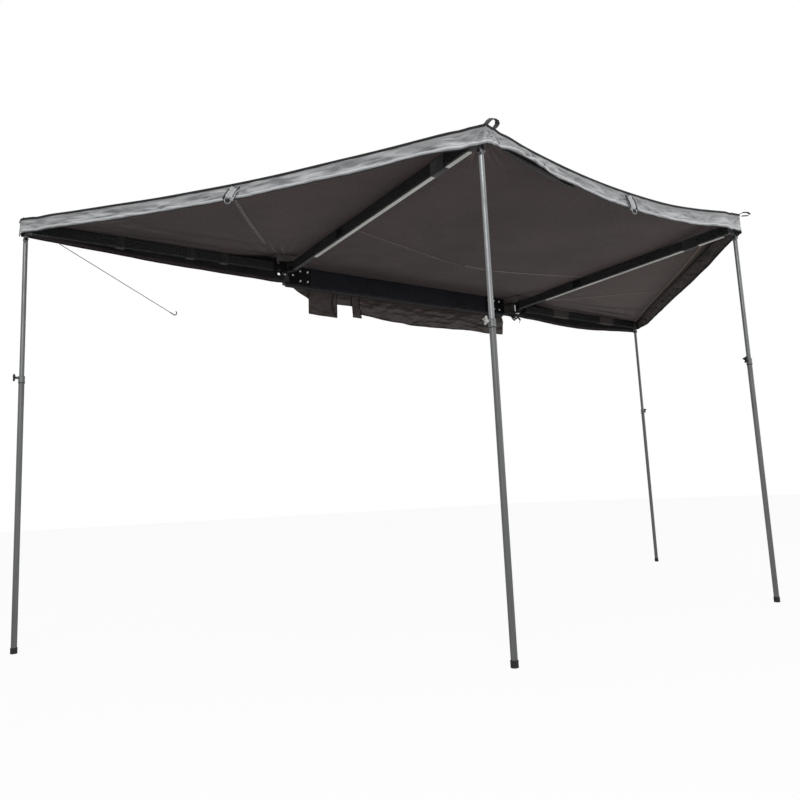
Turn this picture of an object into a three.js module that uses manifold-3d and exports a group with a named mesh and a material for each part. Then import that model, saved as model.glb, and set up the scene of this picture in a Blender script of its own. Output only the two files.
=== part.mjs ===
// Vehicle side awning: two folding wings on one beam, four telescopic legs and a sewn canopy.
// Lengths are millimetres. X runs forwards along the vehicle, Y towards the vehicle and Z up.
// The origin is on the beam's back face, which bolts to the roof rack, level with the arms' middle.
import * as THREE from 'three';
import * as BufferGeometryUtils from 'three/addons/utils/BufferGeometryUtils.js';
import Module from 'manifold-3d';

const wasm = await Module();
wasm.setup();

// Driving sizes
const hingeSpacing = 2000;
const outerArmLength = 1390;
const midArmLength = 1800;
const armHeightAboveGround = 2040;

// Fits
const seatGap = 0.3;
const turningGap = 0.5;
const cutOverrun = 5;

// Beam
const beamHeight = 125;
const beamDepth = 40;
const beamCornerRadius = 5;
const beamEndSetback = 80;
const beamLift = 20;
const beamFrontWall = 3;
const beamEdgeWall = 8;
const slotFloor = 5;
const boltSlotMouth = 9;
const boltSlotWidth = 16;
const boltSlotLip = 4;
const boltSlotDepth = 11;
const boltSlotSpacing = 64;
const edgeGrooveWidth = 4;
const edgeGrooveDepth = 5;

// Arm tubes
const armTubeHeight = 56;
const armTubeWidth = 28;
const armTubeWall = 2.5;
const armTubeCorner = 4;
const packClearance = 7.4;
const stopClearance = 5;

// Knuckles and hinge pins
const pinRadius = 8;
const pinHeadRadius = 13;
const pinHeadHeight = 4;
const knuckleWall = 12;
const eyeHeight = 32;
const forkMargin = 1.5;
const shoulderStart = 58;
const shoulderLength = 12;
const spigotLength = 60;

// Hinge brackets and their bolts
const bracketThickness = 6;
const bracketLength = 180;
const bracketTopInset = 6.5;
const bracketWingWidth = 35;
const bracketNoseWall = 17;
const boltColumnInset = 52;
const boltColumnPitch = 52;
const boltRowSpacing = 64;
const boltRadius = 4;
const boltHeadRadius = 6.5;
const boltHeadHeight = 6;
const boltHoleClearance = 0.4;
const clampPlateThickness = 4;
const clampPlateMargin = 12;

// Arm tips
const foldClearance = 2;
const tipBossWall = 7;
const tipTubeSetback = 28;
const tipNoseLength = 2;
const tipPlateThickness = 6;
const tipHeadGap = 0.7;
const legPinRadius = 5;
const legPinHeadRadius = 8;
const legPinHeadHeight = 3;

// Legs
const innerTubeRadius = 11;
const innerTubeWall = 1.5;
const innerTubeStart = 20;
const legHeadThickness = 11;
const legHeadWall = 5.5;
const legHeadDepth = 30;
const legTubeGap = 0.8;
const legTubeOverlap = 454.3;
const outerTubeWall = 1.2;
const outerTubeLength = 1265;
const collarWall = 2;
const collarGuideHeight = 16;
const collarSocketHeight = 16;
const bossWall = 3.2;
const bossLength = 6;
const screwRadius = 3;
const screwDrop = 8;
const knobHubRadius = 5.5;
const knobHubLength = 5;
const handleLength = 27;
const handleWidth = 7;
const handleDepth = 6;
const lobeRadius = 7.5;
const footWall = 3;
const footBase = 10;
const footSocketDepth = 18;

// Pieces on the arms
const bandThickness = 2.5;
const narrowBandWidth = 45;
const patchWidth = 95;
const wideBandWidth = 170;
const railWidth = 22;
const railThickness = 5;
const railStart = 340;
const railEndSetback = 60;
const stopDistance = 650;
const stopLength = 60;
const stopHeight = 40;
const stopThickness = 4;
const stopBoltRadius = 8;
const stopBoltHeight = 5;

// Canopy
const clothThickness = 1.5;
const seamGap = 1;
const rearValanceHeight = 68;
const frontValanceHeight = 88;
const valanceWave = 3;
const valanceTurn = 1.9;
const hemHingeDrop = 88;
const rearHemTipDrop = 38;
const frontHemTipDrop = 56;
const hemClearance = 5.2;
const hemStartDistance = 70;
const canopyInset = 20;
const tipClearance = 9;
const cornerClearance = 16;
const hingeCoverDistance = 20;
const riseDistance = 450;
const riseFlatShare = 0.1;
const cornerLift = 25;
const cornerLiftReach = 600;
const rearEdgeCurve = 52;
const frontEdgeCurve = 30;
const middleEdgeCurve = 98;
const sideEdgeSag = 12;
const middleEdgeSag = 8;
const clothColumns = 16;
const rowShares = [0, 0.015, 0.05, 0.11, 0.2, 0.34, 0.52, 0.72, 0.88, 1];

// Storage bag
const bagThickness = 3;
const bagBack = 12;
const bagWave = 4;
const bagTurn = 1.3;
const bagRearInset = 90;
const bagStripHeight = 72;
const bagMainStart = 570;
const bagRearDrop = 140;
const bagFrontDrop = 160;
const bagEndInset = 6;
const flapStart = 175;
const flapWidth = 205;
const flapDrop = 168;
const strapStart = 493;
const strapWidth = 62;
const strapDrop = 158;

// Guy rope and hook
const ropeRadius = 2.2;
const hookBarRadius = 3;
const hookBendRadius = 11;
const hookEyeLength = 26;

// Sizes and places worked out from the sizes above
const outerTubeRadius = innerTubeRadius + legTubeGap + outerTubeWall;
const collarRadius = outerTubeRadius + seatGap + collarWall;
const bossRadius = screwRadius + seatGap + bossWall;
const bossReach = collarRadius + bossLength;
const footRadius = outerTubeRadius + seatGap + footWall;
const knuckleRadius = pinRadius + knuckleWall;
const bracketNoseRadius = pinRadius + bracketNoseWall;
const tipBossRadius = legPinRadius + tipBossWall;
const tipForkGap = legHeadThickness + 2 * tipHeadGap;
const legHeadRadius = legPinRadius + legHeadWall;
const forkHeight = armTubeHeight + 2 * forkMargin;
const hemOffset = armTubeWidth / 2 + seatGap + bandThickness + hemClearance;
const beamEnd = hingeSpacing / 2 - beamEndSetback;
const pinX = hingeSpacing / 2;
const beamTop = beamLift + beamHeight / 2;
const beamBottom = beamLift - beamHeight / 2;
const armTop = armTubeHeight / 2;
const armPitch = armTubeWidth + stopThickness + stopBoltHeight + stopClearance;
const bracketBack = beamDepth + seatGap;
const bracketFront = bracketBack + bracketThickness;
const boltHeadFront = bracketFront + seatGap + boltHeadHeight;
const firstArmReach = boltHeadFront + packClearance + armTubeWidth / 2;
const frontPinReach = firstArmReach + armPitch;
const rearPinReach = frontPinReach + 2 * armPitch;
const plateInner = forkHeight / 2 + turningGap;
const plateOuter = plateInner + bracketThickness;
const legPinDrop = plateOuter + seatGap + pinHeadHeight + footRadius + foldClearance;
const tubeStart = shoulderStart + shoulderLength;
const outerTubeBottom = footBase + seatGap - armHeightAboveGround + legPinDrop;
const outerTubeTop = outerTubeBottom + outerTubeLength;
const innerTubeEnd = outerTubeTop - legTubeOverlap;
const collarTop = outerTubeTop + seatGap + collarGuideHeight;
const screwHeight = collarTop - screwDrop;
const tipOverhang = tipBossRadius + tipClearance;
const cornerOverhang = tipNoseLength + cornerClearance + (armTubeWidth / 2) * (midArmLength / outerArmLength);
const clothOverArm = armTop + 3 * seatGap + bandThickness + clothThickness / 2;
const clothOverBeam = beamTop + seatGap + clothThickness / 2;

// Finishes
function finish(colour, roughness, metalness) {
  return new THREE.MeshStandardMaterial({ color: colour, roughness, metalness });
}
const beamPaint = finish(0x1b1d26, 0.45, 0.3);
const armPaint = finish(0x101213, 0.5, 0.3);
const bracketPaint = finish(0x15171a, 0.55, 0.4);
const brightSteel = finish(0xc9ccce, 0.3, 1);
const silverRail = finish(0xd6d8d6, 0.3, 1);
const legMetal = finish(0x6f7273, 0.4, 0.8);
const blackPlastic = finish(0x17181a, 0.6, 0);
const rubber = finish(0x1c1c1c, 0.9, 0);
const canopyCloth = finish(0x5a504d, 0.9, 0);
const bagCloth = finish(0x4d4340, 0.75, 0);
const webbing = finish(0x1a1919, 0.9, 0);
const ropeFibre = finish(0x2a2a2a, 0.9, 0);

// Helpers for solids
function toSolid(geometry) {
  const bare = geometry.clone();
  bare.deleteAttribute('normal');
  bare.deleteAttribute('uv');
  const merged = BufferGeometryUtils.mergeVertices(bare);
  const vertProperties = new Float32Array(merged.attributes.position.array);
  const triVerts = new Uint32Array(merged.index.array);
  return new wasm.Manifold(new wasm.Mesh({ numProp: 3, vertProperties, triVerts }));
}

function toGeometry(solid) {
  const mesh = solid.getMesh();
  const geometry = new THREE.BufferGeometry();
  geometry.setAttribute('position', new THREE.BufferAttribute(new Float32Array(mesh.vertProperties), 3));
  geometry.setIndex(new THREE.BufferAttribute(new Uint32Array(mesh.triVerts), 1));
  geometry.computeVertexNormals();
  return geometry;
}

function joined(first, ...others) {
  return toGeometry(others.reduce((sum, other) => sum.add(toSolid(other)), toSolid(first)));
}

function cutBy(body, ...tools) {
  return toGeometry(tools.reduce((left, tool) => left.subtract(toSolid(tool)), toSolid(body)));
}

function piece(name, geometry, material) {
  const mesh = new THREE.Mesh(geometry, material);
  mesh.name = name;
  return mesh;
}

// A box between two corners.
function block(low, high) {
  const size = new THREE.Vector3().subVectors(high, low);
  const middle = new THREE.Vector3().addVectors(low, high).divideScalar(2);
  return new THREE.BoxGeometry(size.x, size.y, size.z).translate(middle.x, middle.y, middle.z);
}

function at(x, y, z) {
  return new THREE.Vector3(x, y, z);
}

// A flat outline given thickness from one height to another.
function prism(shape, low, high, curveSegments = 6) {
  const depth = high - low;
  return new THREE.ExtrudeGeometry(shape, { depth, bevelEnabled: false, curveSegments }).translate(0, 0, low);
}

// Turns a prism so that its outline lies in the plane of Y and Z and its length runs along X.
function alongX(geometry) {
  return geometry.applyMatrix4(new THREE.Matrix4().makeBasis(at(0, 1, 0), at(0, 0, 1), at(1, 0, 0)));
}

// Turns a prism so that its outline lies in the plane of X and Z and its length runs against Y.
function againstY(geometry) {
  return geometry.applyMatrix4(new THREE.Matrix4().makeBasis(at(1, 0, 0), at(0, 0, 1), at(0, -1, 0)));
}

function rod(radius, low, high, sides = 20) {
  const length = high - low;
  const cylinder = new THREE.CylinderGeometry(radius, radius, length, sides);
  return cylinder.rotateX(Math.PI / 2).translate(0, 0, low + length / 2);
}

// A turned piece. The profile lists radius and height, upwards on the outside and back down inside.
function turned(profile, sides = 20) {
  const points = profile.map(([radius, height]) => new THREE.Vector2(radius, height));
  return new THREE.LatheGeometry(points, sides).rotateX(Math.PI / 2);
}

function roundedOutline(width, height, corner, centreX = 0, centreY = 0) {
  const shape = new THREE.Shape();
  const x = width / 2 - corner;
  const y = height / 2 - corner;
  shape.absarc(centreX + x, centreY + y, corner, 0, Math.PI / 2);
  shape.absarc(centreX - x, centreY + y, corner, Math.PI / 2, Math.PI);
  shape.absarc(centreX - x, centreY - y, corner, Math.PI, Math.PI * 1.5);
  shape.absarc(centreX + x, centreY - y, corner, Math.PI * 1.5, Math.PI * 2);
  shape.closePath();
  return shape;
}

function ringPoints(x, y, radius, sides) {
  return Array.from({ length: sides }, (_, step) => {
    const turn = (Math.PI * 2 * step) / sides;
    return new THREE.Vector2(x + radius * Math.cos(turn), y + radius * Math.sin(turn));
  });
}

// The outline of a rubber band round a set of points.
function bandOutline(points) {
  const sorted = [...points].sort((a, b) => a.x - b.x || a.y - b.y);
  const side = (list) => {
    const kept = [];
    for (const point of list) {
      while (kept.length > 1 && turnsRight(kept.at(-2), kept.at(-1), point)) kept.pop();
      kept.push(point);
    }
    kept.pop();
    return kept;
  };
  return new THREE.Shape([...side(sorted), ...side(sorted.reverse())]);
}

function turnsRight(a, b, c) {
  return (b.x - a.x) * (c.y - a.y) - (b.y - a.y) * (c.x - a.x) <= 0;
}

function smoothStep(value) {
  const x = THREE.MathUtils.clamp(value, 0, 1);
  return x * x * (3 - 2 * x);
}

// A sheet of cloth as one closed solid: rows of middle points, thickened square to the sheet.
function sheetSolid(rows, thickness) {
  const rowCount = rows.length;
  const columnCount = rows[0].length;
  const within = (index, count) => THREE.MathUtils.clamp(index, 0, count - 1);
  const spot = (i, j) => rows[within(i, rowCount)][within(j, columnCount)];
  const facing = (i, j) => {
    const down = at(0, 0, 0).subVectors(spot(i + 1, j), spot(i - 1, j));
    const across = at(0, 0, 0).subVectors(spot(i, j + 1), spot(i, j - 1));
    return down.cross(across).normalize();
  };
  const positions = [];
  for (const face of [1, -1]) {
    for (let i = 0; i < rowCount; i += 1) {
      for (let j = 0; j < columnCount; j += 1) {
        const point = spot(i, j).clone().addScaledVector(facing(i, j), (face * thickness) / 2);
        positions.push(point.x, point.y, point.z);
      }
    }
  }
  const upper = (i, j) => i * columnCount + j;
  const lower = (i, j) => upper(i, j) + rowCount * columnCount;
  const triangles = [];
  const quad = (a, b, c, d) => triangles.push(a, b, c, a, c, d);
  for (let i = 0; i + 1 < rowCount; i += 1) {
    for (let j = 0; j + 1 < columnCount; j += 1) {
      quad(upper(i, j), upper(i + 1, j), upper(i + 1, j + 1), upper(i, j + 1));
      quad(lower(i, j), lower(i, j + 1), lower(i + 1, j + 1), lower(i + 1, j));
    }
  }
  for (let i = 0; i + 1 < rowCount; i += 1) {
    quad(upper(i + 1, 0), upper(i, 0), lower(i, 0), lower(i + 1, 0));
    const last = columnCount - 1;
    quad(upper(i, last), upper(i + 1, last), lower(i + 1, last), lower(i, last));
  }
  for (let j = 0; j + 1 < columnCount; j += 1) {
    quad(upper(0, j), upper(0, j + 1), lower(0, j + 1), lower(0, j));
    const last = rowCount - 1;
    quad(upper(last, j + 1), upper(last, j), lower(last, j), lower(last, j + 1));
  }
  const geometry = new THREE.BufferGeometry();
  geometry.setAttribute('position', new THREE.Float32BufferAttribute(positions, 3));
  geometry.setIndex(triangles);
  geometry.computeVertexNormals();
  return geometry;
}

function grid(rowCount, columnCount, point) {
  const row = (i) => Array.from({ length: columnCount + 1 }, (_, j) => point(i / rowCount, j / columnCount));
  return Array.from({ length: rowCount + 1 }, (_, i) => row(i));
}

// Bolt places on each bracket, as distance from the middle of the beam and height.
const boltColumns = [0, 1, 2].map((step) => beamEnd - boltColumnInset - step * boltColumnPitch);
const boltRows = [beamLift + boltRowSpacing / 2, beamLift - boltRowSpacing / 2];
const frontBolts = boltColumns.flatMap((x) => boltRows.map((z) => [x, z]));
const rearBolts = [[-boltColumns[0], beamLift], ...frontBolts.slice(2).map(([x, z]) => [-x, z])];

function boltHoles(bolts, near, far) {
  const hole = ([x, z]) => againstY(rod(boltRadius + boltHoleClearance, near, far, 12)).translate(x, 0, z);
  return bolts.map(hole);
}

// Beam
function makeBeam() {
  const outline = roundedOutline(beamDepth, beamHeight, beamCornerRadius, -beamDepth / 2, beamLift);
  const bar = alongX(prism(outline, -beamEnd, beamEnd, 3));
  const ends = beamEnd + cutOverrun;
  const cavity = block(
    at(-ends, -beamDepth + beamFrontWall, beamBottom + beamEdgeWall),
    at(ends, -boltSlotDepth - slotFloor, beamTop - beamEdgeWall),
  );
  const slots = [beamLift + boltSlotSpacing / 2, beamLift - boltSlotSpacing / 2].flatMap((z) => [
    block(at(-ends, -boltSlotDepth, z - boltSlotMouth / 2), at(ends, cutOverrun, z + boltSlotMouth / 2)),
    block(at(-ends, -boltSlotDepth, z - boltSlotWidth / 2), at(ends, -boltSlotLip, z + boltSlotWidth / 2)),
  ]);
  const grooveLow = -(beamDepth + edgeGrooveWidth) / 2;
  const grooveHigh = -(beamDepth - edgeGrooveWidth) / 2;
  const grooves = [
    block(at(-ends, grooveLow, beamTop - edgeGrooveDepth), at(ends, grooveHigh, beamTop + cutOverrun)),
    block(at(-ends, grooveLow, beamBottom - cutOverrun), at(ends, grooveHigh, beamBottom + edgeGrooveDepth)),
  ];
  const wallBack = beamDepth - beamFrontWall;
  const holes = boltHoles([...rearBolts, ...frontBolts], wallBack - cutOverrun, beamDepth + cutOverrun);
  return piece('backing_beam', cutBy(bar, cavity, ...slots, ...grooves, ...holes), beamPaint);
}

// Hinge bracket at one end of the beam, with the two plates that hold the hinge pin.
function makeBracket(name, side, pinReach, bolts) {
  const [lowX, highX] = [side * (beamEnd - bracketLength), side * beamEnd].sort((a, b) => a - b);
  const back = block(at(lowX, -bracketFront, -plateOuter), at(highX, -bracketBack, beamTop - bracketTopInset));
  const root = -(bracketBack + bracketFront) / 2;
  const outline = bandOutline([
    new THREE.Vector2(side * (beamEnd - bracketWingWidth), root),
    new THREE.Vector2(side * beamEnd, root),
    ...ringPoints(side * pinX, -pinReach, bracketNoseRadius, 24),
  ]);
  const upper = prism(outline, plateInner, plateOuter);
  const lower = prism(outline, -plateOuter, -plateInner);
  const bore = rod(pinRadius + seatGap, -plateOuter - cutOverrun, plateOuter + cutOverrun);
  bore.translate(side * pinX, -pinReach, 0);
  const holes = boltHoles(bolts, bracketBack - cutOverrun, bracketFront + cutOverrun);
  return piece(name, cutBy(joined(back, upper, lower), bore, ...holes), bracketPaint);
}

// Bolts of one bracket on the clamping plate that sits inside the beam.
function makeClampPlate(name, bolts) {
  const xs = bolts.map(([x]) => x);
  const reach = boltRowSpacing / 2 + clampPlateMargin;
  const front = beamDepth - beamFrontWall - seatGap;
  const plate = block(
    at(Math.min(...xs) - clampPlateMargin, -front, beamLift - reach),
    at(Math.max(...xs) + clampPlateMargin, -front + clampPlateThickness, beamLift + reach),
  );
  const shankStart = front - clampPlateThickness / 2;
  const headStart = bracketFront + seatGap;
  const bolt = ([x, z]) => [
    againstY(rod(boltRadius, shankStart, headStart + boltHeadHeight / 2, 12)).translate(x, 0, z),
    againstY(rod(boltHeadRadius, headStart, boltHeadFront, 6)).translate(x, 0, z),
  ];
  return piece(name, joined(plate, ...bolts.flatMap(bolt)), brightSteel);
}

function makeHingePin(name, x, pinReach) {
  const head = plateOuter + seatGap;
  const tip = head + pinHeadHeight;
  const pin = turned([
    [0, -tip],
    [pinHeadRadius, -tip],
    [pinHeadRadius, -head],
    [pinRadius, -head],
    [pinRadius, head],
    [pinHeadRadius, head],
    [pinHeadRadius, tip],
    [0, tip],
  ]);
  const mesh = piece(name, pin, brightSteel);
  mesh.position.set(x, -pinReach, 0);
  return mesh;
}

// Arms. In an arm's own frame X runs out along the arm from the hinge pin, and Z is up.
function makeTube(name, length, offset) {
  const outline = roundedOutline(armTubeWidth, armTubeHeight, armTubeCorner);
  const bore = roundedOutline(armTubeWidth - 2 * armTubeWall, armTubeHeight - 2 * armTubeWall, armTubeWall);
  outline.holes.push(bore);
  const tube = alongX(prism(outline, tubeStart + seatGap, length - tipTubeSetback - seatGap, 3));
  return piece(name, tube.translate(0, offset, 0), armPaint);
}

function spigot(start, end, offset) {
  const shrink = 2 * (armTubeWall + seatGap);
  const outline = roundedOutline(armTubeWidth - shrink, armTubeHeight - shrink, armTubeWall, offset, 0);
  return alongX(prism(outline, start, end, 3));
}

// The outer arms turn on one eye in the middle of the pin.
function makeEyeKnuckle(name) {
  const half = armTubeWidth / 2;
  const outline = bandOutline([
    ...ringPoints(0, 0, knuckleRadius, 24),
    new THREE.Vector2(shoulderStart + cutOverrun, half),
    new THREE.Vector2(shoulderStart + cutOverrun, -half),
  ]);
  const eye = prism(outline, -eyeHeight / 2, eyeHeight / 2);
  const shoulder = block(at(shoulderStart, -half, -armTop), at(tubeStart, half, armTop));
  const plug = spigot(tubeStart - cutOverrun, tubeStart + spigotLength, 0);
  const bore = rod(pinRadius + seatGap, -eyeHeight, eyeHeight);
  return piece(name, cutBy(joined(eye, shoulder, plug), bore), bracketPaint);
}

// The middle arms turn on a fork above and below that eye, and stand off to one side of the pin.
function makeForkKnuckle(name, offset) {
  const half = armTubeWidth / 2;
  const outline = bandOutline([
    ...ringPoints(0, 0, knuckleRadius, 24),
    new THREE.Vector2(shoulderStart, offset - half),
    new THREE.Vector2(shoulderStart, offset + half),
    new THREE.Vector2(tubeStart, offset - half),
    new THREE.Vector2(tubeStart, offset + half),
  ]);
  const forkInner = eyeHeight / 2 + turningGap;
  const upper = prism(outline, forkInner, forkHeight / 2);
  const lower = prism(outline, -forkHeight / 2, -forkInner);
  const shoulder = block(
    at(shoulderStart, offset - half, -forkHeight / 2),
    at(tubeStart, offset + half, forkHeight / 2),
  );
  const plug = spigot(tubeStart - cutOverrun, tubeStart + spigotLength, offset);
  const bore = rod(pinRadius + seatGap, -forkHeight, forkHeight);
  return piece(name, cutBy(joined(upper, lower, shoulder, plug), bore), bracketPaint);
}

// Fork at the outer end of an arm that carries the leg.
function makeTip(name, length, offset) {
  const half = armTubeWidth / 2;
  const start = length - tipTubeSetback;
  const nose = block(at(start, offset - half, -armTop), at(length + tipNoseLength, offset + half, armTop));
  const plug = spigot(start - spigotLength, start + cutOverrun, offset);
  const cheekOutline = bandOutline([
    ...ringPoints(length, -legPinDrop, tipBossRadius, 20),
    new THREE.Vector2(length - tipBossRadius, -armTop + cutOverrun),
    new THREE.Vector2(length + tipNoseLength, -armTop + cutOverrun),
  ]);
  const cheek = (middle) =>
    againstY(prism(cheekOutline, -tipPlateThickness / 2, tipPlateThickness / 2)).translate(0, middle, 0);
  const spread = (tipForkGap + tipPlateThickness) / 2;
  const bore = againstY(rod(legPinRadius + seatGap, -armTubeWidth, armTubeWidth, 16));
  bore.translate(length, offset, -legPinDrop);
  const body = joined(nose, plug, cheek(offset - spread), cheek(offset + spread));
  return piece(name, cutBy(body, bore), legMetal);
}

// A webbing band sewn round the arm. It drops lower where it also goes round the rail.
function makeBand(name, distance, width, offset, drop) {
  const inner = [armTubeWidth + 2 * seatGap, armTubeHeight + 2 * seatGap + drop];
  const outer = inner.map((size) => size + 2 * bandThickness);
  const outline = roundedOutline(outer[0], outer[1], armTubeCorner + bandThickness, 0, -drop / 2);
  outline.holes.push(roundedOutline(inner[0], inner[1], armTubeCorner, 0, -drop / 2));
  const band = alongX(prism(outline, distance - width / 2, distance + width / 2, 2));
  return piece(name, band.translate(0, offset, 0), webbing);
}

function makeRail(name, length, offset) {
  const half = railWidth / 2;
  const outline = bandOutline([
    ...ringPoints(railStart + half, offset, half, 16),
    ...ringPoints(length - railEndSetback - half, offset, half, 16),
  ]);
  const top = -armTop - seatGap;
  return piece(name, prism(outline, top - railThickness, top), silverRail);
}

// Flat stop with its bolt on the side of a middle arm that faces rearwards.
function makeStop(name, offset) {
  const outline = roundedOutline(stopLength, stopHeight, armTubeCorner, stopDistance, 0);
  const near = armTubeWidth / 2 + seatGap - offset;
  const plate = againstY(prism(outline, near, near + stopThickness, 3));
  const head = rod(stopBoltRadius, near + stopThickness / 2, near + stopThickness + stopBoltHeight, 6);
  const body = joined(plate, againstY(head).translate(stopDistance, 0, 0));
  return piece(name, body, bracketPaint);
}

// Legs. In a leg's own frame the pivot is the origin and the leg hangs down.
function makeInnerTube(name) {
  const tube = turned([
    [0, -legHeadDepth - innerTubeWall],
    [innerTubeRadius - innerTubeWall, -legHeadDepth - innerTubeWall],
    [innerTubeRadius - innerTubeWall, innerTubeEnd],
    [innerTubeRadius, innerTubeEnd],
    [innerTubeRadius, -innerTubeStart],
    [0, -innerTubeStart],
  ]);
  const headOutline = bandOutline([
    ...ringPoints(0, 0, legHeadRadius, 20),
    new THREE.Vector2(-legHeadRadius, -legHeadDepth),
    new THREE.Vector2(legHeadRadius, -legHeadDepth),
  ]);
  const head = againstY(prism(headOutline, -legHeadThickness / 2, legHeadThickness / 2));
  const cheekFace = tipForkGap / 2 + tipPlateThickness + seatGap;
  const pinReach = cheekFace + legPinHeadHeight / 2;
  const pin = againstY(rod(legPinRadius, -pinReach, pinReach, 16));
  const pinHeads = [
    againstY(rod(legPinHeadRadius, cheekFace, cheekFace + legPinHeadHeight, 12)),
    againstY(rod(legPinHeadRadius, -cheekFace - legPinHeadHeight, -cheekFace, 12)),
  ];
  return piece(name, joined(tube, head, pin, ...pinHeads), legMetal);
}

function makeOuterTube(name) {
  const bore = outerTubeRadius - outerTubeWall;
  const tube = turned([
    [bore, outerTubeBottom],
    [outerTubeRadius, outerTubeBottom],
    [outerTubeRadius, outerTubeTop],
    [bore, outerTubeTop],
    [bore, outerTubeBottom],
  ]);
  return piece(name, tube, legMetal);
}

// Collar on the outer tube's top. Its screw presses on the inner tube.
function makeCollar(name, knobTurn) {
  const socket = outerTubeRadius + seatGap;
  const guide = innerTubeRadius + seatGap;
  const ledge = outerTubeTop + seatGap;
  const bottom = ledge - collarSocketHeight;
  const ring = turned([
    [socket, bottom],
    [collarRadius, bottom],
    [collarRadius, collarTop],
    [guide, collarTop],
    [guide, ledge],
    [socket, ledge],
    [socket, bottom],
  ]);
  const boss = rod(bossRadius, socket, bossReach, 16);
  const thread = rod(screwRadius + seatGap, 0, bossReach + cutOverrun, 12);
  const turn = (geometry) => geometry.rotateY(Math.PI / 2).translate(0, 0, screwHeight).rotateZ(knobTurn);
  return piece(name, cutBy(joined(ring, turn(boss)), turn(thread)), legMetal);
}

// Clamping screw with its handle, a bar with a round lobe at each end.
function makeClampScrew(name, knobTurn) {
  const start = innerTubeRadius + seatGap;
  const hubStart = bossReach + turningGap;
  const hubEnd = hubStart + knobHubLength;
  const shank = rod(screwRadius, start, hubStart + knobHubLength / 2, 12);
  const hub = rod(knobHubRadius, hubStart, hubEnd, 12);
  const bar = roundedOutline(handleWidth, handleLength, handleWidth / 3);
  const handleStart = hubEnd - knobHubLength / 3;
  const handleEnd = hubEnd + handleDepth;
  const lobe = (offset) => rod(lobeRadius, handleStart, handleEnd, 12).translate(0, offset, 0);
  const handle = joined(prism(bar, handleStart, handleEnd, 3), lobe(handleLength / 2), lobe(-handleLength / 2));
  const screw = joined(shank, hub, handle.rotateZ(Math.PI / 6));
  screw.rotateY(Math.PI / 2);
  const mesh = piece(name, screw, blackPlastic);
  mesh.position.set(0, 0, screwHeight);
  mesh.rotation.z = knobTurn;
  return mesh;
}

function makeFoot(name) {
  const ground = legPinDrop - armHeightAboveGround;
  const bore = outerTubeRadius + seatGap;
  const rim = ground + footBase + footSocketDepth;
  const foot = turned([
    [0, ground],
    [footRadius, ground],
    [footRadius, rim],
    [bore, rim],
    [bore, ground + footBase],
    [0, ground + footBase],
  ]);
  return piece(name, foot, rubber);
}

function makeLeg(name, length, offset, knobTurn) {
  const leg = new THREE.Group();
  leg.add(makeInnerTube(`${name}_inner_tube`));
  leg.add(makeOuterTube(`${name}_outer_tube`));
  leg.add(makeCollar(`${name}_clamp_collar`, knobTurn));
  leg.add(makeClampScrew(`${name}_clamp_screw`, knobTurn));
  leg.add(makeFoot(`${name}_foot`));
  leg.position.set(length, offset, -legPinDrop);
  return leg;
}

// One arm with its knuckle, tip, bands, rail and leg, turned to its direction round the hinge pin.
function makeArm(arm) {
  const group = new THREE.Group();
  const railDrop = arm.hasRail ? railThickness + seatGap : 0;
  group.add(makeTube(`${arm.name}_arm_tube`, arm.length, arm.offset));
  group.add(makeTip(`${arm.name}_tip_fork`, arm.length, arm.offset));
  if (arm.hasRail) {
    group.add(makeForkKnuckle(`${arm.name}_knuckle`, arm.offset));
    group.add(makeRail(`${arm.name}_arm_rail`, arm.length, arm.offset));
    group.add(makeStop(`${arm.name}_arm_stop`, arm.offset));
  } else {
    group.add(makeEyeKnuckle(`${arm.name}_knuckle`));
  }
  arm.bandShares.forEach((share, index) => {
    const name = `${arm.name}_band_${index + 1}`;
    group.add(makeBand(name, arm.length * share, arm.bandWidth, arm.offset, railDrop));
  });
  group.add(makeLeg(`${arm.name}_leg`, arm.length, arm.offset, arm.knobTurn));
  group.position.set(arm.side * pinX, -arm.pinReach, 0);
  group.rotation.z = arm.direction;
  return group;
}

const arms = [
  {
    name: 'rear_outer',
    side: -1,
    pinReach: rearPinReach,
    length: outerArmLength,
    offset: 0,
    hasRail: false,
    direction: Math.PI,
    knobTurn: 0,
    bandShares: [0.27, 0.41, 0.68],
    bandWidth: narrowBandWidth,
  },
  {
    name: 'rear_mid',
    side: -1,
    pinReach: rearPinReach,
    length: midArmLength,
    offset: armPitch,
    hasRail: true,
    direction: -Math.PI / 2,
    knobTurn: -Math.PI / 2,
    bandShares: [0.85],
    bandWidth: patchWidth,
  },
  {
    name: 'front_mid',
    side: 1,
    pinReach: frontPinReach,
    length: midArmLength,
    offset: -armPitch,
    hasRail: true,
    direction: -Math.PI / 2,
    knobTurn: -Math.PI / 2,
    bandShares: [0.85],
    bandWidth: patchWidth,
  },
  {
    name: 'front_outer',
    side: 1,
    pinReach: frontPinReach,
    length: outerArmLength,
    offset: 0,
    hasRail: false,
    direction: 0,
    knobTurn: 0,
    bandShares: [0.33, 0.72],
    bandWidth: wideBandWidth,
  },
];

// Canopy. The cloth lies on the arms, rises to the beam's top near the vehicle, and is pulled up a little
// at the tip of the front middle arm.
function canopyHeight(x, y) {
  const pastEnd = Math.max(Math.abs(x) - beamEnd, 0);
  const pastFront = Math.max(-y - beamDepth, 0);
  const nearness = 1 + riseFlatShare - Math.hypot(pastEnd, pastFront) / riseDistance;
  const fromTip = Math.hypot(x - pinX + armPitch, y + frontPinReach + midArmLength);
  const lift = cornerLift * smoothStep(1 - fromTip / cornerLiftReach);
  return clothOverArm + (clothOverBeam - clothOverArm) * smoothStep(nearness) + lift;
}

// The valance is deeper at the front than at the rear.
function valanceHeight(x) {
  const share = THREE.MathUtils.clamp((x + pinX) / hingeSpacing, 0, 1);
  return THREE.MathUtils.lerp(rearValanceHeight, frontValanceHeight, share);
}

// Rises from 0 at both ends to 1 in the middle.
function bulge(t) {
  return 4 * t * (1 - t);
}

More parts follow.
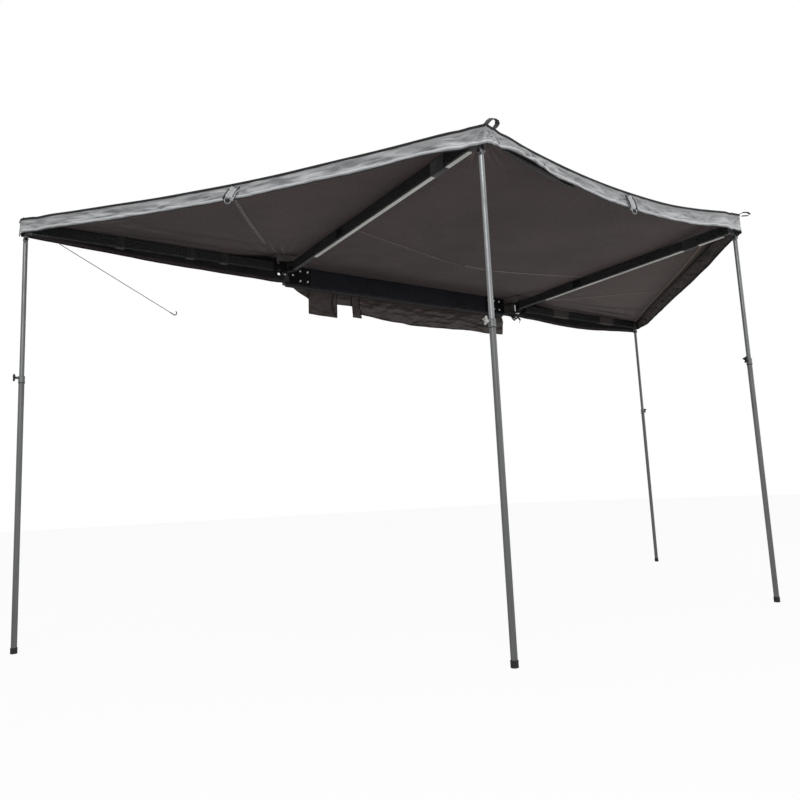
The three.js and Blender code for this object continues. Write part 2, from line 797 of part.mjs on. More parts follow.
// A panel between an inner edge and an outer edge, with the valance hanging from the outer edge.
function makePanel(inner, outer, sag) {
  const panelRows = grid(rowShares.length - 1, clothColumns, (row, t) => {
    const s = rowShares[Math.round(row * (rowShares.length - 1))];
    const from = inner(t);
    const to = outer(t);
    const x = THREE.MathUtils.lerp(from.x, to.x, s);
    const y = THREE.MathUtils.lerp(from.y, to.y, s);
    return at(x, y, canopyHeight(x, y) - sag(t) * s * s);
  });
  const edge = panelRows.at(-1);
  const before = panelRows.at(-2);
  const hanging = [1, 2, 3].map((step) =>
    edge.map((point, index) => {
      const out = at(point.x - before[index].x, point.y - before[index].y, 0).normalize();
      const wave = valanceWave * Math.sin(index * valanceTurn) * (step / 3);
      const drop = (valanceHeight(point.x) * step) / 3;
      return point.clone().addScaledVector(out, clothThickness + wave).setZ(point.z - drop);
    }),
  );
  return sheetSolid([...panelRows, ...hanging], clothThickness);
}

// The straight line between two corners, curved inwards in the middle.
function curvedEdge(from, to, inward, curve, t) {
  const depth = curve * bulge(t);
  const x = THREE.MathUtils.lerp(from.x, to.x, t) + inward.x * depth;
  const y = THREE.MathUtils.lerp(from.y, to.y, t) + inward.y * depth;
  return at(x, y, 0);
}

// A wing's outer edge goes squarely round the outer arm's tip and then straight to the middle arm's tip.
function makeWingCanopy(name, side, pinReach, edgeCurve, hemTipDrop) {
  const armLine = hemOffset - pinReach;
  const seamX = side * (pinX - armPitch + seamGap / 2);
  const tipX = pinX + outerArmLength + tipOverhang;
  const nearCorner = at(side * tipX, armLine, 0);
  const farCorner = at(side * tipX, -hemOffset - pinReach, 0);
  const midCorner = at(seamX, -pinReach - midArmLength - cornerOverhang, 0);
  const along = at(0, 0, 0).subVectors(midCorner, farCorner);
  const inward = at(-side * Math.abs(along.y), Math.abs(along.x), 0).normalize();
  const innerStart = at(side * (pinX + hingeCoverDistance), armLine, 0);
  const innerEnd = at(seamX, -canopyInset, 0);
  const fromTip = (t) => (side < 0 ? t : 1 - t);
  const outerEdge = (t) => {
    const columns = t * clothColumns;
    if (columns < 1) return nearCorner.clone().lerp(farCorner, columns);
    return curvedEdge(farCorner, midCorner, inward, edgeCurve, (columns - 1) / (clothColumns - 1));
  };
  const panel = makePanel(
    (t) => innerStart.clone().lerp(innerEnd, fromTip(t)),
    (t) => outerEdge(fromTip(t)),
    (t) => sideEdgeSag * bulge(t) ** 2,
  );
  const hemStart = pinX + hemStartDistance;
  const hemEnd = tipX - clothThickness;
  const hem = sheetSolid(
    grid(2, 12, (s, t) => {
      const x = side * THREE.MathUtils.lerp(hemStart, hemEnd, fromTip(t));
      const hemBottom = -THREE.MathUtils.lerp(hemHingeDrop, hemTipDrop, fromTip(t));
      return at(x, armLine, THREE.MathUtils.lerp(canopyHeight(x, armLine), hemBottom, s));
    }),
    clothThickness,
  );
  return piece(name, joined(panel, hem), canopyCloth);
}

// Half of the middle panel, from the beam to the outer edge between the two middle arms.
function makeMiddleCanopy(name, side) {
  const seam = pinX - armPitch - seamGap / 2;
  const rearCorner = at(-seam, -rearPinReach - midArmLength - cornerOverhang, 0);
  const frontCorner = at(seam, -frontPinReach - midArmLength - cornerOverhang, 0);
  const nearMiddle = (side * seamGap) / 2;
  const share = (t) => (side < 0 ? t / 2 : (1 + t) / 2);
  const acrossFrom = side < 0 ? -seam : nearMiddle;
  const acrossTo = side < 0 ? nearMiddle : seam;
  const panel = makePanel(
    (t) => at(THREE.MathUtils.lerp(acrossFrom, acrossTo, t), -canopyInset, 0),
    (t) => {
      const edge = curvedEdge(rearCorner, frontCorner, at(0, 1, 0), middleEdgeCurve, share(t));
      return edge.setX(THREE.MathUtils.lerp(acrossFrom, acrossTo, t));
    },
    (t) => middleEdgeSag * bulge(share(t)) ** 2,
  );
  return piece(name, panel, canopyCloth);
}

// Storage bag. It hangs open under the beam while the awning is up.
function hangingSheet(fromX, toX, top, rearDrop, frontDrop, depth, wave, columns) {
  return sheetSolid(
    grid(4, columns, (s, t) => {
      const fold = wave * Math.sin(t * columns * bagTurn) * s;
      const drop = THREE.MathUtils.lerp(rearDrop, frontDrop, t);
      return at(THREE.MathUtils.lerp(fromX, toX, t), -depth + fold, top - drop * s);
    }),
    bagThickness,
  );
}

function makeStorageBag() {
  const top = beamBottom - seatGap;
  const start = bagMainStart - beamEnd;
  const rearEnd = bagRearInset - beamEnd;
  const stripEnd = start + bagThickness;
  const strip = hangingSheet(rearEnd, stripEnd, top, bagStripHeight, bagStripHeight, bagBack, 0, 4);
  const frontEnd = beamEnd - bagEndInset;
  const main = hangingSheet(start, frontEnd, top, bagRearDrop, bagFrontDrop, bagBack, bagWave, 14);
  return piece('storage_bag', joined(strip, main), bagCloth);
}

function makeBagHanger(name, start, width, drop) {
  const top = beamBottom - seatGap;
  const depth = bagBack + bagThickness + seatGap;
  const from = start - beamEnd;
  return piece(name, hangingSheet(from, from + width, top, drop, drop, depth, 0, 4), bagCloth);
}

// Guy rope, taut from the hem of the rear outer arm to a hook. Its route is a list of places.
const ropeRoute = [
  at(-2234, -178, -46.9),
  at(-1929, -89, -171.3),
  at(-1624, 0, -295.6),
];

function makeGuyRope() {
  const section = new THREE.Shape(ringPoints(0, 0, ropeRadius, 8));
  const path = new THREE.CatmullRomCurve3(ropeRoute);
  const rope = new THREE.ExtrudeGeometry(section, { steps: 8, bevelEnabled: false, extrudePath: path });
  return piece('guy_rope', rope, ropeFibre);
}

// Open hook: a straight shank in line with the rope, then a half turn.
function makeGuyHook() {
  const points = [at(0, 0, 0), at(0, 0, -hookEyeLength / 2), at(0, 0, -hookEyeLength)];
  for (const turn of [1, 2, 3, 4, 5]) {
    const angle = (Math.PI * turn) / 5;
    const sweep = hookBendRadius * (1 - Math.cos(angle));
    points.push(at(sweep, 0, -hookEyeLength - hookBendRadius * Math.sin(angle)));
  }
  const path = new THREE.CatmullRomCurve3(points);
  const section = new THREE.Shape(ringPoints(0, 0, hookBarRadius, 8));
  const hook = new THREE.ExtrudeGeometry(section, { steps: 16, bevelEnabled: false, extrudePath: path });
  const mesh = piece('guy_hook', hook, blackPlastic);
  const along = at(0, 0, 0).subVectors(ropeRoute.at(-1), ropeRoute[0]).normalize();
  mesh.position.copy(ropeRoute.at(-1)).addScaledVector(along, seatGap);
  mesh.quaternion.setFromUnitVectors(at(0, 0, -1), along);
  return mesh;
}

const awning = new THREE.Group();
awning.add(makeBeam());
awning.add(makeBracket('rear_hinge_bracket', -1, rearPinReach, rearBolts));
awning.add(makeBracket('front_hinge_bracket', 1, frontPinReach, frontBolts));
awning.add(makeClampPlate('rear_clamp_bolts', rearBolts));
awning.add(makeClampPlate('front_clamp_bolts', frontBolts));
awning.add(makeHingePin('rear_hinge_pin', -pinX, rearPinReach));
awning.add(makeHingePin('front_hinge_pin', pinX, frontPinReach));
awning.add(makeStorageBag());
awning.add(makeBagHanger('storage_bag_flap', flapStart, flapWidth, flapDrop));
awning.add(makeBagHanger('storage_bag_strap', strapStart, strapWidth, strapDrop));
for (const arm of arms) awning.add(makeArm(arm));
awning.add(makeWingCanopy('rear_wing_canopy', -1, rearPinReach, rearEdgeCurve, rearHemTipDrop));
awning.add(makeMiddleCanopy('rear_middle_canopy', -1));
awning.add(makeMiddleCanopy('front_middle_canopy', 1));
awning.add(makeWingCanopy('front_wing_canopy', 1, frontPinReach, frontEdgeCurve, frontHemTipDrop));
awning.add(makeGuyRope());
awning.add(makeGuyHook());

export default awning;
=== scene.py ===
import math
import bmesh
import bpy
import numpy as np
from mathutils import Matrix, Vector


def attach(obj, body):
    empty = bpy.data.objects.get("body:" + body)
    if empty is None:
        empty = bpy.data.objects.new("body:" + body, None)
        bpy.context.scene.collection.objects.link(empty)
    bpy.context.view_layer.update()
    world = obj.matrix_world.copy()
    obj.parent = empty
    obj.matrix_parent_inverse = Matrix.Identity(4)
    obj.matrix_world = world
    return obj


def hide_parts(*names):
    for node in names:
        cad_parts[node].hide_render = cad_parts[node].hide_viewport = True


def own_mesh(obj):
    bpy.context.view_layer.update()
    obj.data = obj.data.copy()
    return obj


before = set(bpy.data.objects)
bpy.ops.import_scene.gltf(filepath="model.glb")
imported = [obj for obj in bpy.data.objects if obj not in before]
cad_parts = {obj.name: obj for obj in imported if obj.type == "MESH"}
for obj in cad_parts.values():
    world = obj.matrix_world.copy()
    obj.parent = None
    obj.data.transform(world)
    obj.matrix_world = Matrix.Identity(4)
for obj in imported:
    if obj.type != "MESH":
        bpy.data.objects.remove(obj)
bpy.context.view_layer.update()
print("loaded", len(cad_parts), "nodes")

# Camera: under the rear corner of the canopy, looking forwards and up at the beam.
view = {"pixels": 800, "sensor": 36, "place": (-2.744, -3.998, -1.417), "yaw": 33.88, "pitch": 7.95,
        "roll": -2.65, "focalPixels": 704.9}


def makeCamera():
    yaw, pitch, roll = (math.radians(view[k]) for k in ("yaw", "pitch", "roll"))
    forward = Vector((math.sin(yaw) * math.cos(pitch), math.cos(yaw) * math.cos(pitch), math.sin(pitch)))
    level = forward.cross(Vector((0, 0, 1))).normalized()
    rise = level.cross(forward)
    right = level * math.cos(roll) + rise * math.sin(roll)
    up = rise * math.cos(roll) - level * math.sin(roll)
    lens = bpy.data.cameras.new("photoCamera")
    lens.sensor_width = view["sensor"]
    lens.lens = view["sensor"] * view["focalPixels"] / view["pixels"]
    camera = bpy.data.objects.new("photoCamera", lens)
    turn = Matrix((right, up, -forward)).transposed().to_4x4()
    camera.matrix_world = Matrix.Translation(view["place"]) @ turn
    bpy.context.scene.collection.objects.link(camera)
    bpy.context.scene.camera = camera


makeCamera()
print("camera placed")


# Mesh helpers
def gridFaces(rows, columns, wrapRows=False, wrapColumns=False):
    # quads of a grid of points, with the row and column of each corner before it wraps round
    i, j = np.meshgrid(np.arange(rows if wrapRows else rows - 1),
                       np.arange(columns if wrapColumns else columns - 1), indexing="ij")
    i, j = i.ravel(), j.ravel()
    cornerRow = np.stack([i, i, i + 1, i + 1], 1)
    cornerColumn = np.stack([j, j + 1, j + 1, j], 1)
    faces = (cornerRow % rows) * columns + cornerColumn % columns
    return faces, cornerRow, cornerColumn


def meshPiece(name, points, faces, cornerUv, faceSlots, finishes, sharp):
    mesh = bpy.data.meshes.new(name)
    mesh.from_pydata(np.asarray(points, float).reshape(-1, 3).tolist(), [], [list(f) for f in faces])
    if cornerUv is not None:
        layer = mesh.uv_layers.new(name="flatCut")
        layer.data.foreach_set("uv", np.asarray(cornerUv, np.float32).ravel())
    for finish in finishes:
        mesh.materials.append(materials[finish])
    if faceSlots is not None:
        mesh.polygons.foreach_set("material_index", np.asarray(faceSlots, np.int32))
    mesh.shade_smooth()
    mesh.set_sharp_from_angle(angle=math.radians(sharp))
    mesh.validate()
    piece = bpy.data.objects.new(name, mesh)
    bpy.context.scene.collection.objects.link(piece)
    return piece


def circle(count):
    return np.linspace(0, 2 * np.pi, count, endpoint=False)


def distances(path):
    # how far along a path each of its points lies
    return np.concatenate([[0], np.cumsum(np.linalg.norm(np.diff(path, axis=0), axis=1))])


def fromTable(table, x):
    return np.interp(x, *zip(*table))


def carry(piece, body, node=None):
    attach(piece, body)
    if node:
        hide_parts(node)


def unit(vectors):
    return vectors / np.maximum(np.linalg.norm(vectors, axis=-1, keepdims=True), 1e-12)


def together(*parts):
    # one array for each coordinate, brought to one shape
    return np.stack(np.broadcast_arrays(*parts), -1)


def shareGrid(rows, columns):
    # shares from 0 to 1 down the rows and along the columns
    return np.linspace(0, 1, rows)[:, None], np.linspace(0, 1, columns)[None]


def sheetPiece(name, middle, thickness, uv, *finishes):
    # two layers half a thickness to each side of the middle surface, joined by a rim round the edge
    rows, columns = middle.shape[:2]
    outward = unit(np.cross(np.gradient(middle, axis=0), np.gradient(middle, axis=1)))
    points = np.stack([middle + outward * thickness / 2, middle - outward * thickness / 2])
    quads, _, _ = gridFaces(rows, columns)
    index = np.arange(rows * columns).reshape(rows, columns)
    loop = np.concatenate([index[0, :-1], index[:-1, -1], index[-1, :0:-1], index[:0:-1, 0]])
    after = np.roll(loop, -1)
    under = rows * columns
    rim = np.stack([loop, after, after + under, loop + under], 1)
    faces = np.concatenate([quads[:, ::-1], quads + under, rim])
    slots = np.concatenate([np.zeros(len(quads)), np.ones(len(quads)), np.zeros(len(rim))])
    flat = np.concatenate([uv.reshape(-1, 2)] * 2)
    return meshPiece(name, points, faces, flat[faces], np.minimum(slots, len(finishes) - 1), finishes, 50)


def ringPiece(name, points, finish, uv=None, sharp=60, flip=False, closed=False):
    # rings of points joined in order, with flat ends unless the last ring meets the first
    rows, columns = points.shape[:2]
    quads, row, column = gridFaces(rows, columns, closed, True)
    faces = list(quads)
    corners = list(np.stack(uv(row, column), -1)) if uv else None
    if not closed:
        faces += [np.arange(columns)[::-1], np.arange(columns) + (rows - 1) * columns]
        if uv:
            corners += [np.zeros((columns, 2))] * 2
    if flip:
        faces = [face[::-1] for face in faces]
        corners = [corner[::-1] for corner in corners] if uv else None
    return meshPiece(name, points, faces, np.concatenate(corners) if uv else None, None, [finish], sharp)


def acrossPath(path, reference, closed=False):
    # two directions square to each other and to the path, the first one level to a reference
    tangent = unit(np.roll(path, -1, 0) - np.roll(path, 1, 0) if closed else np.gradient(path, axis=0))
    sideways = unit(np.cross(tangent, np.array(reference, float)))
    return sideways, np.cross(sideways, tangent)


def tubePiece(name, path, radius, sides, finish, reference=(0, 0, 1), closed=False, grain=None):
    # a circle carried along a path. The radius may be one for all, or one for each point of each circle
    path = np.asarray(path, float)
    sideways, upward = acrossPath(path, reference, closed)
    angle = circle(sides)
    ring = np.cos(angle)[None, :, None] * sideways[:, None] + np.sin(angle)[None, :, None] * upward[:, None]
    points = path[:, None] + np.broadcast_to(radius, ring.shape[:2])[..., None] * ring
    reach = distances(path)
    reach = np.append(reach, 2 * reach[-1] - reach[-2])
    step = grain or 2 * np.pi * radius / sides
    return ringPiece(name, points, finish, lambda row, column: (column * step, reach[row]), 60, True, closed)


def turnedPiece(name, profile, sides, place, finish, ring=False):
    # a profile of radius and height turned round the local Z axis, then put in its place
    profile = np.asarray(profile, float)
    angle = circle(sides)
    x = profile[:, :1] * np.cos(angle)
    points = np.stack([x, profile[:, :1] * np.sin(angle), np.broadcast_to(profile[:, 1:], x.shape)], -1)
    step = 2 * np.pi * profile[:, 0].max() / sides
    along = np.append(profile[:, 1], profile[0, 1])
    return ringPiece(name, moved(points, place), finish, lambda row, column: (column * step, along[row]), 35,
                     closed=ring)


def facing(direction, axis="Z"):
    return direction.to_track_quat(axis, "Y").to_matrix().to_4x4()


def moved(points, place):
    matrix = np.array(place)
    return np.asarray(points) @ matrix[:3, :3].T + matrix[:3, 3]


def smoothStep(value):
    x = np.clip(value, 0, 1)
    return x * x * (3 - 2 * x)


def bulge(t):
    # rises from 0 at both ends to 1 in the middle
    return 4 * t * (1 - t)


def softNoise(u, v, seed):
    # smooth bumps between -1 and 1: random heights at whole numbers with smooth steps between them
    size = 64
    heights = np.random.default_rng(seed).uniform(-1, 1, (size, size))
    i, j = np.floor(u).astype(int), np.floor(v).astype(int)
    a, b = smoothStep(u - i), smoothStep(v - j)
    i, j, nextI, nextJ = i % size, j % size, (i + 1) % size, (j + 1) % size
    h00, h10 = heights[i, j], heights[nextI, j]
    h01, h11 = heights[i, nextJ], heights[nextI, nextJ]
    return (h00 * (1 - a) + h10 * a) * (1 - b) + (h01 * (1 - a) + h11 * a) * b


def foldNoise(table, u, v, seed):
    # slanting folds: a sum of bumps, each row with its weight, pitch along u, lean, steps down v and start
    total = 0
    for number, (weight, pitch, lean, steps, start) in enumerate(table):
        total = total + weight * softNoise(u / pitch + v * lean, v * steps + start, seed + number)
    return total


def alongPath(points, count, rounding=0.0):
    # the path resampled to even steps, its corners rounded by averaging over the given distance
    points = np.asarray(points, float)
    reach = distances(points)
    fine = np.linspace(0, reach[-1], 2001)
    dense = np.stack([np.interp(fine, reach, place) for place in points.T], -1)
    if rounding > 0:
        width = max(3, int(rounding / reach[-1] * (len(fine) - 1)) | 1)
        before, after = 2 * dense[:1] - dense[width:0:-1], 2 * dense[-1:] - dense[-2:-width - 2:-1]
        padded = np.concatenate([before, dense, after])
        kernel = np.hanning(width + 2)[1:-1]
        kernel /= kernel.sum()
        dense = np.stack([np.convolve(place, kernel, "same")[width:-width] for place in padded.T], -1)
        reach = distances(dense)
    else:
        reach = fine
    even = np.linspace(0, reach[-1], count)
    return np.stack([np.interp(even, reach, place) for place in dense.T], -1)


# Shader helpers
def addNode(tree, kind, settings=None, **inputs):
    node = tree.nodes.new(kind)
    for key, value in (settings or {}).items():
        setattr(node, key, value)
    for key, value in inputs.items():
        socket = node.inputs[int(key[1:])] if key[0] == "i" and key[1:].isdigit() else node.inputs[key]
        if isinstance(value, bpy.types.NodeSocket):
            tree.links.new(value, socket)
        else:
            socket.default_value = value
    return node


def newGroup(name, inputs, outputs):
    # an input with a number is a value, and one without is a vector. Every output is a value
    tree = bpy.data.node_groups.new(name, "ShaderNodeTree")
    for title, value in inputs.items():
        kind = "NodeSocketVector" if value is None else "NodeSocketFloat"
        socket = tree.interface.new_socket(title, in_out="INPUT", socket_type=kind)
        if value is not None:
            socket.default_value = value
    for title in outputs:
        tree.interface.new_socket(title, in_out="OUTPUT", socket_type="NodeSocketFloat")
    return tree, tree.nodes.new("NodeGroupInput").outputs, tree.nodes.new("NodeGroupOutput").inputs


def maths(tree, operation, first, second=0.0, third=0.0):
    return addNode(tree, "ShaderNodeMath", {"operation": operation}, i0=first, i1=second, i2=third).outputs[0]


def product(tree, first, second):
    return maths(tree, "MULTIPLY", first, second)


def ranged(tree, value, low, high, fromLow=0.3, fromHigh=0.7):
    return addNode(tree, "ShaderNodeMapRange", i0=value, i1=fromLow, i2=fromHigh, i3=low, i4=high).outputs[0]


def noise(tree, vector, scale, detail, roughness=0.5, distortion=0.0):
    return addNode(tree, "ShaderNodeTexNoise", Vector=vector, Scale=scale, Detail=detail, Roughness=roughness,
                   Distortion=distortion).outputs[0]


def split(tree, vector):
    return addNode(tree, "ShaderNodeSeparateXYZ", Vector=vector).outputs


def makeWeaveGroup():
    # two crossing sets of threads: height is the larger of two rows of round threads
    tree, source, result = newGroup("clothWeave", {"Vector": None, "Threads": 900.0}, ["Height"])
    place = split(tree, source["Vector"])
    waves = []
    for axis in (0, 1):
        phase = product(tree, place[axis], source["Threads"])
        waves.append(maths(tree, "ABSOLUTE", maths(tree, "SINE", phase)))
    tree.links.new(maths(tree, "MAXIMUM", *waves), result["Height"])
    return tree


def makeMottleGroup():
    # slow colour change plus fine grain, both around one half
    tree, source, result = newGroup("mottle", {"Vector": None, "Slow": 3.0, "Fine": 60.0}, ["Slow", "Fine"])
    for title, detail in (("Slow", 4.0), ("Fine", 3.0)):
        tree.links.new(noise(tree, source["Vector"], source[title], detail, 0.6), result[title])
    return tree


def makeWearGroup():
    # bare edges: where the surface is sharply convex, broken up by noise
    tree, source, result = newGroup("edgeWear", {"Vector": None, "Amount": 0.5}, ["Mask"])
    edge = ranged(tree, tree.nodes.new("ShaderNodeNewGeometry").outputs["Pointiness"], 0.0, 1.0, 0.52, 0.62)
    broken = ranged(tree, noise(tree, source["Vector"], 140.0, 4.0), 0.0, 1.0, 0.45, 0.65)
    tree.links.new(product(tree, product(tree, edge, broken), source["Amount"]), result["Mask"])
    return tree


def makeStitchGroup():
    # a dashed line across V at a given place: 1 on each stitch and 0 between
    inputs = {"Vector": None, "Place": 0.01, "Pitch": 0.004, "Width": 0.0006}
    tree, source, result = newGroup("stitchLine", inputs, ["Mask"])
    u, v, _ = split(tree, source["Vector"])
    off = maths(tree, "ABSOLUTE", maths(tree, "SUBTRACT", v, source["Place"]))
    near = maths(tree, "LESS_THAN", off, source["Width"])
    step = maths(tree, "FRACT", maths(tree, "DIVIDE", u, source["Pitch"]))
    tree.links.new(product(tree, near, maths(tree, "LESS_THAN", step, 0.65)), result["Mask"])
    return tree


def makeCreaseShadeGroup():
    # painted shade and highlight of creases that fan out from a point: noise over the angle seen from it,
    # fading with distance
    tree, source, result = newGroup("paintedCreaseShadeFan", {"Vector": None, "Centre": None, "Reach": 0.4},
                                    ["Dark", "Light"])
    away = addNode(tree, "ShaderNodeVectorMath", {"operation": "SUBTRACT"}, i0=source["Vector"],
                   i1=source["Centre"])
    x, y, _ = split(tree, away.outputs[0])
    distance = addNode(tree, "ShaderNodeVectorMath", {"operation": "LENGTH"},
                       i0=away.outputs[0]).outputs["Value"]
    turn = product(tree, maths(tree, "ARCTAN2", y, x), 13.0)
    rays = addNode(tree, "ShaderNodeCombineXYZ", X=turn, Y=product(tree, distance, 3.0))
    creases = noise(tree, rays.outputs[0], 1.0, 3.0, 0.6)
    fade = ranged(tree, distance, 1.0, 0.0, 0.03, source["Reach"])
    for title, low, high, start, end in (("Dark", 0.0, 1.0, 0.51, 0.59), ("Light", 1.0, 0.0, 0.41, 0.48)):
        tree.links.new(product(tree, ranged(tree, creases, low, high, start, end), fade), result[title])
    return tree


groups = {"fan": makeCreaseShadeGroup(), "weave": makeWeaveGroup(), "mottle": makeMottleGroup(),
          "wear": makeWearGroup(),
          "stitch": makeStitchGroup()}


def linear(colour):
    # a colour written as six hex digits, as linear values
    values = [int(colour[k:k + 2], 16) / 255 for k in (0, 2, 4)]
    return tuple(v / 12.92 if v <= 0.04045 else ((v + 0.055) / 1.055) ** 2.4 for v in values) + (1.0,)


def newMaterial(name, roughness, metallic=0.0, **sockets):
    material = bpy.data.materials.new(name)
    material.use_nodes = True
    tree = material.node_tree
    shader = tree.nodes["Principled BSDF"]
    shader.inputs["Roughness"].default_value = roughness
    shader.inputs["Metallic"].default_value = metallic
    for title, value in sockets.items():
        shader.inputs[title.replace("_", " ")].default_value = value
    return material, tree, shader


def useGroup(tree, name, **inputs):
    return addNode(tree, "ShaderNodeGroup", {"node_tree": groups[name]}, **inputs)


def mixColours(tree, share, first, second):
    # each colour is a socket or six hex digits
    first, second = (linear(colour) if isinstance(colour, str) else colour for colour in (first, second))
    return addNode(tree, "ShaderNodeMix", {"data_type": "RGBA"}, i0=share, i6=first, i7=second).outputs[2]


def connect(tree, shader, colour, roughness, height, strength, relief):
    tree.links.new(colour, shader.inputs["Base Color"])
    tree.links.new(roughness, shader.inputs["Roughness"])
    bump = addNode(tree, "ShaderNodeBump", Strength=strength, Distance=relief, Height=height)
    tree.links.new(bump.outputs[0], shader.inputs["Normal"])
    return bump.outputs[0]


def coordinates(tree, kind):
    return tree.nodes.new("ShaderNodeTexCoord").outputs[kind]


def mottled(tree, place, slow, fine, dark, light):
    # the mottle group and the colour that its slow part gives
    mottle = useGroup(tree, "mottle", Vector=place, Slow=slow, Fine=fine).outputs
    return mottle, mixColours(tree, ranged(tree, mottle["Slow"], 0.0, 1.0), dark, light)


def stitched(tree, uv, colour, height, place, pitch, width, shade):
    line = useGroup(tree, "stitch", Vector=uv, Place=place, Pitch=pitch, Width=width).outputs[0]
    return mixColours(tree, line, colour, shade), maths(tree, "ADD", height, line)


def undersideLightAndShade(tree, colour):
    # painted light, paler towards the front wing's tip, and painted shade in long folds on the wings beside the
    # outer arms
    place = coordinates(tree, "Object")
    x, y, _ = split(tree, place)
    # painted light: paler towards the front
    colour = mixColours(tree, ranged(tree, x, 0.0, 0.5, 0.5, 1.7), colour, "5a4c4a")
    stretched = addNode(tree, "ShaderNodeMapping", Vector=place, Scale=(1.3, 15.0, 1.0))
    folds = ranged(tree, noise(tree, stretched.outputs[0], 1.0, 2.0), 0.0, 0.85, 0.5, 0.58)
    besideArm = ranged(tree, y, 0.0, 1.0, -0.62, -0.24)
    onWing = ranged(tree, maths(tree, "ABSOLUTE", x), 0.0, 1.0, 0.97, 1.1)
    # painted shade in the folds beside the arms
    return mixColours(tree, product(tree, folds, product(tree, besideArm, onWing)), colour, "1f1a19")


def clothMaterial(name, dark, light, roughness, threads, slow, relief, sheen, stitches=(), thread="2b2a2a",
                  pitch=0.005, fans=(), fade=None):
    # woven cloth: mottled colour, thread relief, lines of stitches at the given places across V, and painted
    # shade and highlight of creases, with painted light and painted shade in folds over the canopy's underside
    # when fans are given
    material, tree, shader = newMaterial(name, roughness, Sheen_Weight=sheen, Sheen_Roughness=0.5,
                                         Specular_IOR_Level=0.35)
    uv = coordinates(tree, "UV")
    mottle, colour = mottled(tree, coordinates(tree, "Object"), slow, 90.0, dark, light)
    colour = mixColours(tree, ranged(tree, mottle["Fine"], 0.0, 0.22), colour, dark)
    # painted shade and highlight of the creases round each fan's centre
    for centre, reach in fans:
        fan = useGroup(tree, "fan", Vector=coordinates(tree, "Object"), Centre=centre, Reach=reach).outputs
        for title, strength, shade in (("Dark", 0.75, "1c1716"), ("Light", 0.5, "6a5d5b")):
            colour = mixColours(tree, product(tree, fan[title], strength), colour, shade)
    if fans:
        colour = undersideLightAndShade(tree, colour)
    if fade:
        colour = mixColours(tree, ranged(tree, split(tree, uv)[1], 0.0, 1.0, fade[0], fade[1]), colour, fade[2])
    height = useGroup(tree, "weave", Vector=uv, Threads=threads).outputs[0]
    for place in stitches:
        colour, height = stitched(tree, uv, colour, height, place, pitch, 0.0009, thread)
    dull = ranged(tree, mottle["Fine"], roughness - 0.08, min(1.0, roughness + 0.08))
    connect(tree, shader, colour, dull, height, 0.5, relief)
    return material


def coatMaterial(name, dark, light, roughness, relief, wear, bare="8c8f92", grain=260.0, gloss=0.32):
    # powder coat: slightly mottled, with orange-peel relief and a little bare metal at sharp edges
    material, tree, shader = newMaterial(name, roughness, Specular_IOR_Level=gloss)
    place = coordinates(tree, "Object")
    mottle, colour = mottled(tree, place, 5.0, grain, dark, light)
    mask = useGroup(tree, "wear", Vector=place, Amount=wear).outputs[0]
    dull = ranged(tree, mottle["Slow"], roughness - 0.07, roughness + 0.1)
    connect(tree, shader, mixColours(tree, mask, colour, bare), dull, mottle["Fine"], 0.35, relief)
    return material


def metalMaterial(name, dark, light, roughness, stretch, relief=0.0001, metallic=1.0):
    # drawn or brushed metal: noise stretched along one axis, with a few duller scuffed spots
    material, tree, shader = newMaterial(name, roughness, metallic)
    mapping = addNode(tree, "ShaderNodeMapping", Vector=coordinates(tree, "Object"), Scale=stretch)
    streak = noise(tree, mapping.outputs[0], 40.0, 5.0, 0.7)
    mottle = useGroup(tree, "mottle", Vector=coordinates(tree, "Object"), Slow=9.0, Fine=120.0).outputs
    colour = mixColours(tree, ranged(tree, streak, 0.0, 1.0), dark, light)
    colour = mixColours(tree, ranged(tree, mottle["Slow"], 0.0, 0.3, 0.55, 0.75), colour, dark)
    dull = ranged(tree, mottle["Slow"], roughness - 0.06, roughness + 0.14)
    connect(tree, shader, colour, dull, streak, 0.25, relief)
    return material


def valanceMaterial():
    # silver-grey coated cloth: slanting creases with painted shade and highlight, painted light towards the
    # front, and a lighter band along the stitched hem
    material, tree, shader = newMaterial("valanceFace", 0.5, Sheen_Weight=0.2, Sheen_Roughness=0.5,
                                         Specular_IOR_Level=0.4)
    uv = coordinates(tree, "UV")
    mottle = useGroup(tree, "mottle", Vector=coordinates(tree, "Object"), Slow=7.0, Fine=120.0).outputs
    slant = addNode(tree, "ShaderNodeMapping", Vector=uv, Rotation=(0, 0, math.radians(24)),
                    Scale=(6.0, 60.0, 1.0))
    crease = noise(tree, slant.outputs[0], 1.0, 2.0, 0.45, 0.7)
    # painted shade and highlight along the slanting creases
    colour = mixColours(tree, ranged(tree, crease, 0.0, 1.0, 0.36, 0.64), "5f6163", "b2b4b6")
    # painted light: paler towards the front, where more light falls
    towardsLitFront = split(tree, coordinates(tree, "Object"))[0]
    colour = mixColours(tree, ranged(tree, towardsLitFront, 0.0, 0.42, 0.35, 0.95), colour, "cfd1d2")
    colour = mixColours(tree, ranged(tree, mottle["Slow"], 0.0, 0.5), colour, "717375")
    height = useGroup(tree, "weave", Vector=uv, Threads=1400.0).outputs[0]
    fromHem = split(tree, uv)[1]
    colour = mixColours(tree, ranged(tree, fromHem, 0.0, 0.55, 0.030, 0.070), colour, "505254")
    for width, share, shade in ((0.0175, 0.6, "c0c2c4"), (0.0090, 0.75, "5a5c5e")):
        band = maths(tree, "LESS_THAN", fromHem, width)
        colour = mixColours(tree, product(tree, band, share), colour, shade)
    for place, shade in ((0.0190, "4a4c4e"), (0.0120, "9a9c9d"), (0.003, "4a4c4e")):
        colour, height = stitched(tree, uv, colour, height, place, 0.004, 0.0012, shade)
    soft = connect(tree, shader, colour, ranged(tree, crease, 0.42, 0.62), height, 0.5, 0.00025)
    deep = addNode(tree, "ShaderNodeBump", Strength=0.7, Distance=0.006, Height=crease, Normal=soft)
    tree.links.new(deep.outputs[0], shader.inputs["Normal"])
    return material


